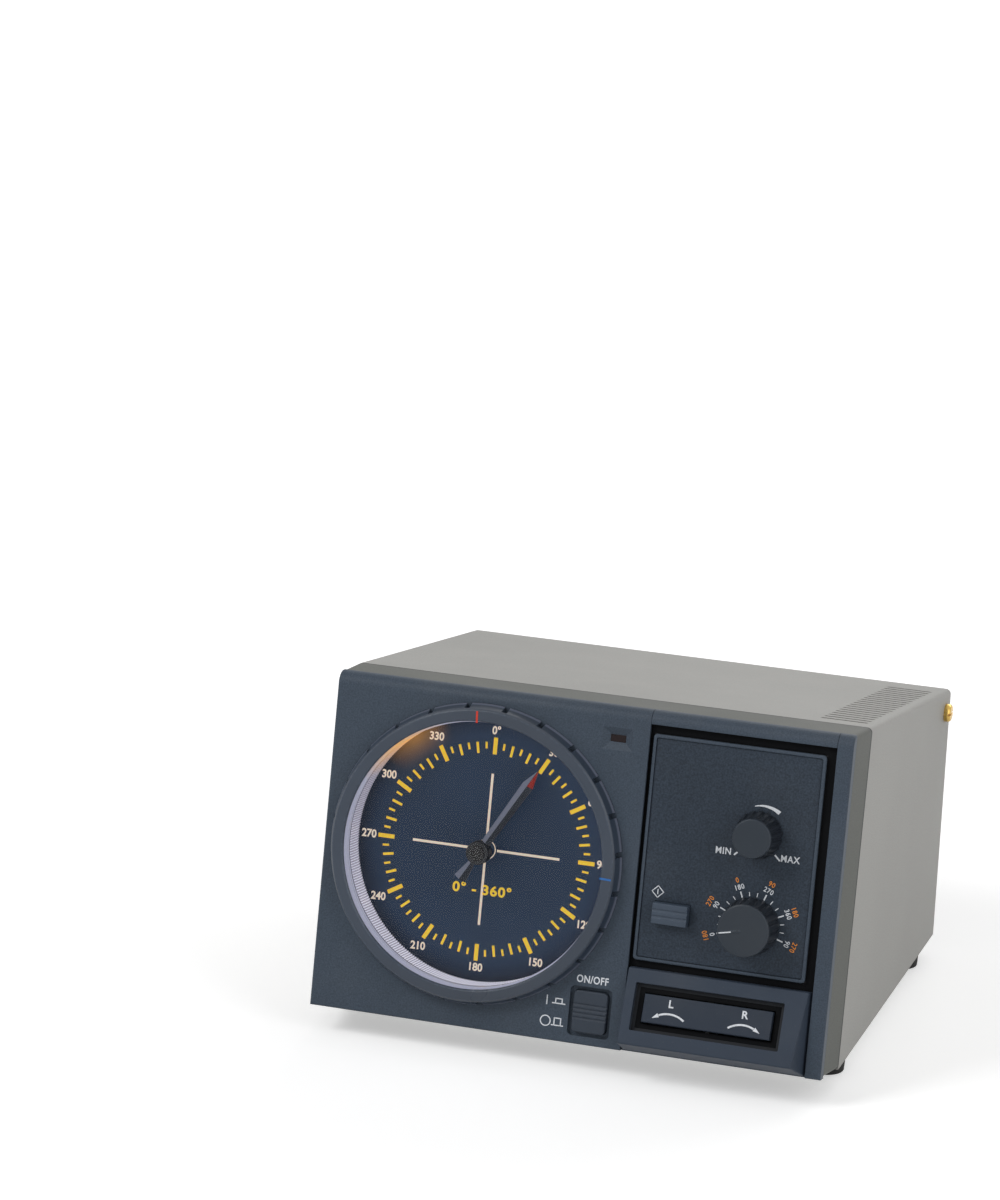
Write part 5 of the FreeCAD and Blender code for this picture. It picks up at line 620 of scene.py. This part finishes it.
FINISHES = {
    "cover_paint": speckled_paint("cover_grey", paint(147, 146, 142), paint(174, 172, 167),
                                  paint(106, 104, 101), (VENT_SHADE,)),
    "sheet_zinc": worked_metal("zinc_sheet", paint(176, 177, 174), 0.38, 900.0),
    "panel_paint": moulding("panel_black", paint(48, 50, 52), 0.45, 1500.0, 0.25),
    "front_plastic": moulding("front_blue_grey", paint(62, 72, 84), 0.48, 1900.0, specular=0.2,
                              speckle=0.16, recesses=(TRAY_SHADE,)),
    "surround_plastic": moulding("surround_grey", paint(92, 94, 90), 0.55, 1900.0,
                                 specular=0.15, speckle=0.12, recesses=(SEAM_SHADE,)),
    "plate_plastic": moulding("plate_blue_black", paint(46, 55, 66), 0.55, 1500.0, 0.5,
                              specular=0.2, speckle=0.30),
    "key_plastic": moulding("key_slate", paint(49, 57, 68), 0.40, depth=0.12, wear_and_highlight=0.5,
                            specular=0.25),
    "dial_print": dial_finish(),
    "needle_plastic": needle_finish(),
    "lens_clear": lens_finish(),
    "light_guide": light_guide_finish(),
    "lamp_glass": lamp_finish(),
    "red_window": red_window_finish(),
    "gear_brass": worked_metal("brass", paint(206, 172, 96), 0.25, 2200.0, 0.35),
    "shaft_steel": worked_metal("ground_steel", paint(182, 182, 184), 0.22, 2600.0),
    "screw_steel": worked_metal("plated_steel", paint(188, 186, 178), 0.3, 1800.0),
    "can_steel": worked_metal("can_steel", paint(170, 170, 168), 0.35, 1400.0),
    "core_steel": laminated_core(),
    "coil_tape": coil_tape(),
    "board_laminate": board_finish(),
    "can_sleeve": moulding("sleeve_navy", paint(38, 48, 78), 0.25, 900.0, 0.05, wear_and_highlight=0.1),
    "sink_aluminium": worked_metal("black_anodised", paint(58, 59, 61), 0.4, 1200.0),
    "package_black": moulding("package_black", paint(40, 40, 41), 0.5, 2400.0, 0.3),
    "foot_rubber": moulding("rubber_black", paint(34, 34, 34), 0.75, 1800.0, 0.4, dust=0.3),
    "socket_plastic": moulding("socket_black", paint(44, 45, 47), 0.4, 2400.0),
    "adjuster_white": moulding("adjuster_white", paint(214, 212, 204), 0.45, 2400.0, 0.1),
}

# Nodes that look different from the rest of their slot.
OWN_FINISHES = {
    "bezel_ring": ring_finish(),
    "rocker_bezel": moulding("block_slate", paint(52, 61, 74), specular=0.2,
                             recesses=(ROCKER_RECESS_SHADE,)),
    "rocker_plate": moulding("rocker_slate", paint(42, 50, 62), 0.45, specular=0.2),
    "start_button": moulding("start_slate", paint(62, 73, 87), 0.40, wear_and_highlight=0.5),
    "speed_knob": knob("speed_slate", SPEED_SIDE_SHADE),
    "preset_knob": knob("preset_slate", PRESET_SIDE_SHADE),
    "rocker_pin": moulding("pin_black", paint(26, 28, 31), 0.35, wear_and_highlight=0.2),
    "pointer_cap": moulding("cap_black", paint(22, 24, 28), 0.25, wear_and_highlight=0.8, specular=0.5),
}
# Painted shade: matt black for the frames that stand in for shadow in two recesses.
SHADE_FRAME = moulding("shade_frame_black", SHADOW_BLACK, 0.7, specular=0.03, dust=0.04, wear_and_highlight=0.0)

slot_of = {row["node"]: row["material_slot"] for row in frame["record"]["subparts"]}
for node, piece in frame["nodes"].items():
    piece.data.materials.clear()
    piece.data.materials.append(OWN_FINISHES.get(node, FINISHES[slot_of[node]]))
    for polygon in piece.data.polygons:
        polygon.material_index = 0

INKS = {
    "white": printing("ink_white", paint(226, 230, 236)),
    # The cream and yellow inks carry a painted glow.
    "cream": printing("ink_cream", paint(244, 226, 205), glow=0.40),
    "yellow": printing("ink_yellow", paint(250, 205, 58), glow=0.44),
    "orange": printing("ink_orange", paint(230, 138, 44)),
    "red": printing("ink_red", paint(206, 52, 30)),
    "blue": printing("ink_blue", paint(38, 104, 176)),
}


# ------------------------------------------------------------------ making pieces
def finish_piece(name, shape, material, body, replaced=()):
    """Turns a bmesh into a piece that rides on a body."""
    mesh = bpy.data.meshes.new(name)
    shape.to_mesh(mesh)
    shape.free()
    piece = bpy.data.objects.new(name, mesh)
    bpy.context.scene.collection.objects.link(piece)
    mesh.materials.append(material)
    if replaced:
        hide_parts(*replaced)
    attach(piece, body)


def thicken(shape, flat, plane):
    """Gives a flat shape the ink's thickness, moves it to its plane and adds it to the piece."""
    grown = bmesh.ops.extrude_face_region(flat, geom=flat.faces[:], use_keep_orig=True)["geom"]
    raised = [part for part in grown if isinstance(part, bmesh.types.BMVert)]
    bmesh.ops.translate(flat, verts=raised, vec=(0, 0, INK * MM))
    bmesh.ops.recalc_face_normals(flat, faces=flat.faces)
    bmesh.ops.transform(flat, matrix=plane, verts=flat.verts)
    mesh = bpy.data.meshes.new("part")
    flat.to_mesh(mesh)
    flat.free()
    shape.from_mesh(mesh)
    bpy.data.meshes.remove(mesh)


def bar(shape, plane, width, height, at=(0.0, 0.0), turn=0.0):
    """A printed bar; sizes and place in mm, turned clockwise about its middle."""
    place = (
        plane
        @ Matrix.Translation(Vector((at[0], at[1], INK / 2)) * MM)
        @ Matrix.Rotation(-math.radians(turn), 4, "Z")
        @ Matrix.Diagonal((Vector((width, height, INK)) * MM).to_4d())
    )
    bmesh.ops.create_cube(shape, size=1.0, matrix=place)


def stroke(shape, plane, radius, line, start=0.0, end=360.0, at=(0.0, 0.0), end_line=None):
    """A printed arc, clockwise from start to end, that may widen outwards to end_line."""
    whole = abs(end - start) >= 360
    band = bmesh.new()
    turn = math.radians(start)
    direction = Vector((math.sin(turn), math.cos(turn), 0)) * MM
    ends = [band.verts.new(direction * edge) for edge in (radius - line / 2, radius + line / 2)]
    bmesh.ops.spin(band, geom=[band.edges.new(ends)] + ends, cent=(0, 0, 0), axis=(0, 0, 1),
                   use_merge=whole, angle=-math.radians(end - start),
                   steps=max(6, int(abs(end - start) / 6)), dvec=(0, 0, 0))
    if end_line is not None:
        for vert in [v for v in band.verts if v.co.length > radius * MM]:
            sweep = (math.degrees(math.atan2(vert.co.x, vert.co.y)) - start) / (end - start)
            vert.co *= 1 + (end_line - line) * sweep * MM / vert.co.length
    bmesh.ops.translate(band, verts=band.verts, vec=Vector((at[0], at[1], 0)) * MM)
    thicken(shape, band, plane)


def arrow_head(shape, plane, radius, at, turn, stretch):
    """A printed triangle, turned clockwise."""
    place = (
        Matrix.Translation(Vector((at[0], at[1], 0)) * MM)
        @ Matrix.Rotation(-math.radians(turn), 4, "Z")
        @ Matrix.Diagonal((stretch[0], stretch[1], 1, 1))
    )
    flat = bmesh.new()
    bmesh.ops.create_circle(flat, cap_ends=True, segments=3, radius=radius * MM, matrix=place)
    thicken(shape, flat, plane)


def outline(shape, plane, sides, line):
    """Bars along the given runs, each from one point to the next, in mm."""
    for (x0, y0), (x1, y1) in zip(sides, sides[1:]):
        length = math.hypot(x1 - x0, y1 - y0)
        bar(shape, plane, line, length + line, ((x0 + x1) / 2, (y0 + y1) / 2),
            math.degrees(math.atan2(x1 - x0, y1 - y0)))


def lettering(shape, plane, text, size, weight, stretch=1.0, spacing=1.0):
    """Printed figures, centred on the plane's origin; size in mm."""
    curve = bpy.data.curves.new("lettering", "FONT")
    curve.body = text
    curve.size = size * MM
    curve.align_x, curve.align_y = "CENTER", "CENTER"
    curve.extrude = INK * MM
    curve.offset = weight * MM
    curve.space_character = spacing
    curve.resolution_u = 4
    holder = bpy.data.objects.new("lettering", curve)
    mesh = bpy.data.meshes.new_from_object(holder)
    mesh.transform(plane @ Matrix.Diagonal((stretch, 1, 1, 1)))
    shape.from_mesh(mesh)
    bpy.data.objects.remove(holder)
    bpy.data.curves.remove(curve)
    bpy.data.meshes.remove(mesh)


def round_place(centre, radius, angle):
    """X and Z on the face at a radius and a clockwise angle from the top of a centre."""
    turn = math.radians(angle)
    return centre[0] + radius * math.sin(turn), centre[1] + radius * math.cos(turn)


# ------------------------------------------------------------------ dial
# Inner and outer radius and width of the divisions, mm.
TICKS = {"long": (36.1, 42.45, 1.55), "middle": (36.4, 40.6, 0.95), "short": (38.1, 40.6, 0.8)}
NUMERAL_START = 43.35          # mm, from the dial's centre to a figure's near edge
NUMERAL_WIDTH = 1.87           # mm, one figure
NUMERAL_HALF_HEIGHT = 1.65
NUMERAL_SIZE = 4.2
RANGE_DROP = 15.6              # mm, printed range below the centre
CROSS_START, CROSS_REACH = 4.4, 28.8
CROSS_LINE = 0.95


def dial_divisions():
    """Divisions of 5 degrees, and the dial's range under its hub."""
    shape = bmesh.new()
    for angle in range(0, 360, 5):
        kind = "long" if angle % 30 == 0 else "middle" if angle % 10 == 0 else "short"
        inner, outer, width = TICKS[kind]
        x, z = round_place(DIAL, (inner + outer) / 2, angle)
        bar(shape, on_face(x, DIAL_DEPTH, z, angle), width, outer - inner)
    lettering(shape, on_face(DIAL[0], DIAL_DEPTH, DIAL[1] - RANGE_DROP), "0° - 360°", 5.2,
              stretch=1.1, weight=0.14, spacing=1.1)
    finish_piece("dial_divisions", shape, INKS["yellow"], "case")


def dial_numerals():
    """Figures every 30 degrees, each with its near edge at the same distance from the centre."""
    shape = bmesh.new()
    for angle in range(0, 360, 30):
        text = f"{angle}°" if angle == 0 else str(angle)
        turn = math.radians(angle)
        half_width = NUMERAL_WIDTH * len(text) / 2
        radius = (NUMERAL_START + half_width * abs(math.sin(turn))
                  + NUMERAL_HALF_HEIGHT * abs(math.cos(turn)))
        x, z = round_place(DIAL, radius, angle)
        lettering(shape, on_face(x, DIAL_DEPTH, z), text, NUMERAL_SIZE, stretch=0.92, weight=0.12)
    finish_piece("dial_numerals", shape, INKS["cream"], "case")


def dial_cross():
    """Cross hairs and a thin ring round the hub."""
    shape = bmesh.new()
    middle = (CROSS_REACH + CROSS_START) / 2
    for angle in range(0, 360, 90):
        x, z = round_place(DIAL, middle, angle)
        bar(shape, on_face(x, DIAL_DEPTH, z, angle), CROSS_LINE, CROSS_REACH - CROSS_START)
    stroke(shape, on_face(DIAL[0], DIAL_DEPTH, DIAL[1]), 3.7, 0.4)
    finish_piece("dial_cross", shape, INKS["cream"], "case")


def ring_marks():
    """Red and blue index marks printed across the turning ring's front."""
    reach, width, middle = 4.4, 0.75, 51.9
    for name, angle in (("red", -3.0), ("blue", 92.0)):
        shape = bmesh.new()
        x, z = round_place(DIAL, middle, angle)
        bar(shape, on_face(x, RING_FRONT, z, angle), width, reach)
        finish_piece(f"ring_mark_{name}", shape, INKS[name], "dial_bezel")


def ribbed_light_ring():
    """The light ring with its fine ribs beside the dial and two smooth bands in front of them."""
    rib_radius, rib_front = 0.36, 3.2
    wall_inner, front, back = 50.4, -2.1, DIAL_DEPTH
    centre = on_face(DIAL[0], 0, DIAL[1])
    shape = bmesh.new()
    # Closed outline of the wall, two smooth bands first: radius, and depth behind the face.
    rim = [(DIAL_RADIUS, front), (wall_inner - 0.5, front), (wall_inner - 0.8, front + 1.2),
           (wall_inner - 0.2, front + 2.6), (wall_inner - 0.6, front + 4.0),
           (wall_inner, rib_front), (wall_inner, back - 0.02), (DIAL_RADIUS, back - 0.02)]
    chain = [shape.verts.new(Vector((radius, 0, -depth)) * MM) for radius, depth in rim]
    edges = [shape.edges.new((a, b)) for a, b in zip(chain, chain[1:] + chain[:1])]
    bmesh.ops.spin(shape, geom=chain + edges, cent=(0, 0, 0), axis=(0, 0, 1), use_merge=True,
                   angle=2 * math.pi, steps=180, dvec=(0, 0, 0))
    bmesh.ops.remove_doubles(shape, verts=shape.verts, dist=0.01 * MM)
    bmesh.ops.recalc_face_normals(shape, faces=shape.faces)
    length = back - rib_front
    rib = bmesh.ops.create_cone(
        shape, cap_ends=True, segments=6, radius1=rib_radius * MM, radius2=rib_radius * MM,
        depth=length * MM,
        matrix=Matrix.Translation(Vector((wall_inner, 0, -(rib_front + back) / 2)) * MM))["verts"]
    faces = list({face for vert in rib for face in vert.link_faces})
    bmesh.ops.spin(shape, geom=rib + faces, cent=(0, 0, 0), axis=(0, 0, 1), use_duplicate=True,
                   angle=2 * math.pi * (RIB_COUNT - 1) / RIB_COUNT, steps=RIB_COUNT - 1,
                   dvec=(0, 0, 0))
    bmesh.ops.transform(shape, matrix=centre, verts=shape.verts)
    finish_piece("ribbed_light_ring", shape, FINISHES["light_guide"], "case",
                 ("light_ring",))


# ------------------------------------------------------------------ control plate
def speed_marks():
    """A widening arc over the speed knob, and the two ends of its travel."""
    shape = bmesh.new()
    plane = on_face(SPEED[0], PLATE_FACE, SPEED[1])
    stroke(shape, plane, 10.6, 0.3, -14.0, 38.0, end_line=1.5)
    inner, outer, words = 9.4, 12.2, 15.3
    for angle, text, shift in ((-135, "MIN", 0.5), (135, "MAX", -0.8)):
        x, z = round_place(SPEED, (outer + inner) / 2, angle)
        bar(shape, on_face(x, PLATE_FACE, z, angle), 0.6, outer - inner)
        x, z = round_place(SPEED, words, 0.89 * angle)
        lettering(shape, on_face(x + shift, PLATE_FACE, z), text, 3.5,
                  stretch=0.9, weight=0.07, spacing=1.12)
    finish_piece("speed_marks", shape, INKS["white"], "case")


def preset_marks():
    """Scale round the preset knob: one set of figures for each way of counting the turn."""
    first, step, count = -109.5, 14.55, 16
    main, small = (10.9, 13.2, 0.5), (11.1, 12.6, 0.32)    # radii and width of a division, mm
    inside = ("0", "90", "180", "270", "360", "90")
    outside = ("180", "270", "0", "90", "180", "270")
    white, orange = bmesh.new(), bmesh.new()
    for k in range(count):
        inner, outer, width = small if k % 3 else main
        angle = first + k * step
        x, z = round_place(PRESET, (inner + outer) / 2, angle)
        bar(white, on_face(x, PLATE_FACE, z, angle), width, outer - inner)
    for k, near, far in zip(range(0, count, 3), inside, outside):
        angle = first + k * step
        for shape, text, radius in ((white, near, 14.8), (orange, far, 17.5)):
            x, z = round_place(PRESET, radius, angle)
            lettering(shape, on_face(x, PLATE_FACE, z, angle), text, 2.65,
                      stretch=0.9, weight=0.03, spacing=1.12)
    finish_piece("preset_marks", white, INKS["white"], "case")
    finish_piece("preset_marks_orange", orange, INKS["orange"], "case")


def start_marks():
    """The sign for starting: a bar in a diamond."""
    shape = bmesh.new()
    centre, half = (31.2, 61.3), 2.2
    plane = on_face(centre[0], PLATE_FACE, centre[1])
    outline(shape, plane, [(0, half), (half, 0), (0, -half), (-half, 0), (0, half)], 0.32)
    bar(shape, plane, 0.35, 1.9)
    finish_piece("start_marks", shape, INKS["white"], "case")


def preset_line():
    """White paint on the raised line of the preset knob."""
    shape = bmesh.new()
    x, z = round_place(PRESET, 6.7, PRESET_REST)
    bar(shape, on_face(x, KNOB_FRONT - INDEX_PROUD, z, PRESET_REST), 0.45, 4.6)
    finish_piece("preset_line", shape, INKS["white"], "preset_control")


# ------------------------------------------------------------------ front and rocker
def lining(name, plane, outer, inner):
    """A thin black frame of painted shade on a recess's floor; an outline is its left, right, low
    and high.
    """
    left, right, low, high = outer
    shape = bmesh.new()
    bar(shape, plane, inner[0] - left, high - low, ((left + inner[0]) / 2, (low + high) / 2))
    bar(shape, plane, right - inner[1], high - low, ((inner[1] + right) / 2, (low + high) / 2))
    for start, end in ((low, inner[2]), (inner[3], high)):
        bar(shape, plane, inner[1] - inner[0], end - start,
            ((inner[0] + inner[1]) / 2, (start + end) / 2))
    finish_piece(name, shape, SHADE_FRAME, "case")


def linings():
    """Black frames of painted shade between the control plate and its tray, and round the rocker.
    """
    tray, plate = (22.9, 92.8, 32.15, 122.7), (24.05, 89.45, 34.95, 119.45)
    lining("tray_shade_frame", on_face(0, TRAY_FLOOR, 0), tray, plate)
    x, z = ROCKER
    recess, rocker = ((x - half_x, x + half_x, z - half_z, z + half_z)
                      for half_x, half_z in ((26.8, 7.6), (24.85, 5.8)))
    lining("rocker_shade_frame", on_block(0, ROCKER_WELL, 0), recess, rocker)


def power_marks():
    """Signs beside the mains button: a bar and a ring, each with the button in and out."""
    shape = bmesh.new()
    line = 0.42
    plane = on_face(0, 0, 0)
    low, high = 14.6, 16.4
    bar(shape, plane, line, 3.6, (-6.75, 15.5))
    outline(shape, plane, [(-4.5, low), (-3.4, low), (-3.4, high), (-0.9, high), (-0.9, low),
                           (0.2, low)], line)
    outline(shape, plane, [(-3.4, low), (-0.9, low)], line)
    low, high = 6.3, 9.0
    stroke(shape, plane, 1.9, line, at=(-6.7, 7.6))
    outline(shape, plane, [(-4.2, low), (0.1, low)], line)
    outline(shape, plane, [(-3.3, low), (-3.3, high), (-0.8, high), (-0.8, low)], line)
    lettering(shape, on_face(9.95, 0, 25.0), "ON/OFF", 3.9, stretch=0.82, weight=0.08,
              spacing=1.08)
    finish_piece("power_marks", shape, INKS["white"], "case")


def rocker_marks():
    """Turning arrows on the two ends of the rocker."""
    shape = bmesh.new()
    radius, line, low = 9.6, 0.72, -10.7       # mm, arrow's arc, its line and its centre
    reach, head_reach, head_middle = 36.0, 11.0, 5.0       # degrees, the last two from its end
    for side, sign in ((-1, "L"), (1, "R")):
        middle = ROCKER[0] + side * 14.0
        plane = on_rocker(middle, ROCKER[1] + low)
        stroke(shape, plane, radius, line, *sorted((-side * reach, side * (reach - head_reach))))
        tip = math.radians(side * (reach - head_middle))
        head = (radius * math.sin(tip), radius * math.cos(tip))
        arrow_head(shape, plane, 1.5, head, side * (reach + 84), (0.62, 1.2))
        lettering(shape, on_rocker(middle, ROCKER[1] + 2.5), sign, 4.0, weight=0.10)
    finish_piece("rocker_marks", shape, INKS["white"], "direction_rocker")


# ------------------------------------------------------------------ back
def rear_marks():
    """Signs on the rear panel: earth, fuse, mains, and the way that each adjuster is turned."""
    shape = bmesh.new()
    line = 0.45
    earth = on_back(84.0, 43.0)
    stroke(shape, earth, 4.2, line)
    bar(shape, earth, line, 2.6, (0, 1.7))
    for width, height in ((4.6, 0.3), (3.0, -0.8), (1.4, -1.9)):
        bar(shape, earth, width, line, (0, height))
    fuse = on_back(30.0, 59.5)
    bar(shape, fuse, 11.0, line)
    outline(shape, fuse, [(-3.4, -1.3), (3.4, -1.3), (3.4, 1.3), (-3.4, 1.3), (-3.4, -1.3)], line)
    for x, start in ((63.6, -90.0), (60.4, 90.0)):
        stroke(shape, on_back(x, 59.0), 1.6, line, start, start + 180)
    for x in (12.0, 24.0):
        adjuster = on_back(x, 19.55)
        stroke(shape, adjuster, 4.9, 0.35, -50.0, 50.0)
        bar(shape, adjuster, 1.6, line, (-4.9, 5.0))
        bar(shape, adjuster, 1.6, line, (4.9, 5.0))
        bar(shape, adjuster, line, 1.6, (4.9, 5.0))
    finish_piece("rear_marks", shape, INKS["white"], "case")


dial_divisions()
dial_numerals()
dial_cross()
ring_marks()
ribbed_light_ring()
speed_marks()
preset_marks()
start_marks()
preset_line()
power_marks()
rocker_marks()
linings()
rear_marks()


# ------------------------------------------------------------------ studio
FLOOR_REACH = 30.0
FLOOR_NEAR = (0.25, 0.42)      # m from the middle, and the floor's glow there
FLOOR_FAR = (2.0, 0.80)
BACKDROP = 1.0                 # white, to the camera and in reflections
ROOM_LIGHT = 0.30              # the same for other rays
AIM = (0, 0, 0.06)
# Name, place, width and height in metres, and watts.
SOFTBOXES = (
    ("key", (-1.2, -1.3, 1.6), (0.9, 0.9), 21.5),
    ("fill", (1.5, -0.9, 0.9), (1.0, 1.4), 9.5),
    ("back", (0.45, 1.5, 1.25), (1.6, 0.9), 11.0),
)
CAMERA_PLACE = (0.4300, -1.6673, 0.6056)
CAMERA_YAW = 16.43
CAMERA_PITCH = -14.70
CAMERA_ROLL = 2.75
FOCAL_LENGTH = 139.05          # mm, on a 36 mm frame


def seen_directly(tree):
    """1 for rays from the camera, and for those that a gloss or a window sends on."""
    rays = put(tree, "LightPath").outputs
    return maths(tree, "MAXIMUM", maths(tree, "MAXIMUM", rays["Is Camera Ray"],
                                        rays["Is Glossy Ray"]), rays["Is Transmission Ray"])


def floor():
    """White floor that glows more with distance, so that it has no horizon."""
    shape = bmesh.new()
    bmesh.ops.create_grid(shape, x_segments=1, y_segments=1, size=FLOOR_REACH)
    mesh = bpy.data.meshes.new("studio_floor")
    shape.to_mesh(mesh)
    shape.free()
    plane = bpy.data.objects.new("studio_floor", mesh)
    bpy.context.scene.collection.objects.link(plane)
    material, tree, shader = new_finish("floor_white")
    away = far_from(tree, put(tree, "SeparateXYZ", {"Vector": here(tree)}).outputs)
    glow = spread(tree, away, FLOOR_NEAR[0], FLOOR_FAR[0], FLOOR_NEAR[1], FLOOR_FAR[1])
    feed(tree, shader, Base_Color=paint(236, 236, 236), Roughness=0.9,
         Emission_Color=(1, 1, 1, 1),
         Emission_Strength=maths(tree, "MULTIPLY", seen_directly(tree), glow))
    mesh.materials.append(material)


def world():
    """Even white surroundings, dimmer for the rays that light the part."""
    backdrop = bpy.data.worlds.new("studio")
    backdrop.use_nodes = True
    tree = backdrop.node_tree
    light = tree.nodes["Background"]
    strength = spread(tree, seen_directly(tree), 0.0, 1.0, ROOM_LIGHT, BACKDROP)
    light.inputs["Color"].default_value = (1, 1, 1, 1)
    tree.links.new(strength, light.inputs["Strength"])
    bpy.context.scene.world = backdrop


def softbox(name, place, size, watts):
    """Rectangular lamp that the camera doesn't see."""
    light = bpy.data.lights.new(name, "AREA")
    light.shape = "RECTANGLE"
    light.size, light.size_y = size
    light.energy = watts
    lamp = bpy.data.objects.new(name, light)
    lamp.location = place
    lamp.rotation_mode = "QUATERNION"
    lamp.rotation_quaternion = (Vector(AIM) - Vector(place)).to_track_quat("-Z", "Y")
    lamp.visible_camera = False
    bpy.context.scene.collection.objects.link(lamp)


def camera():
    lens = bpy.data.cameras.new("camera")
    lens.lens = FOCAL_LENGTH
    lens.sensor_width = 36.0
    lens.clip_start, lens.clip_end = 0.05, 200.0
    eye = bpy.data.objects.new("camera", lens)
    eye.matrix_world = (
        Matrix.Translation(CAMERA_PLACE)
        @ Matrix.Rotation(math.radians(CAMERA_YAW), 4, "Z")
        @ Matrix.Rotation(math.radians(90 + CAMERA_PITCH), 4, "X")
        @ Matrix.Rotation(math.radians(CAMERA_ROLL), 4, "Z")
    )
    bpy.context.scene.collection.objects.link(eye)
    bpy.context.scene.camera = eye


floor()
world()
for box in SOFTBOXES:
    softbox(*box)
camera()
bpy.context.scene.view_settings.view_transform = "Standard"
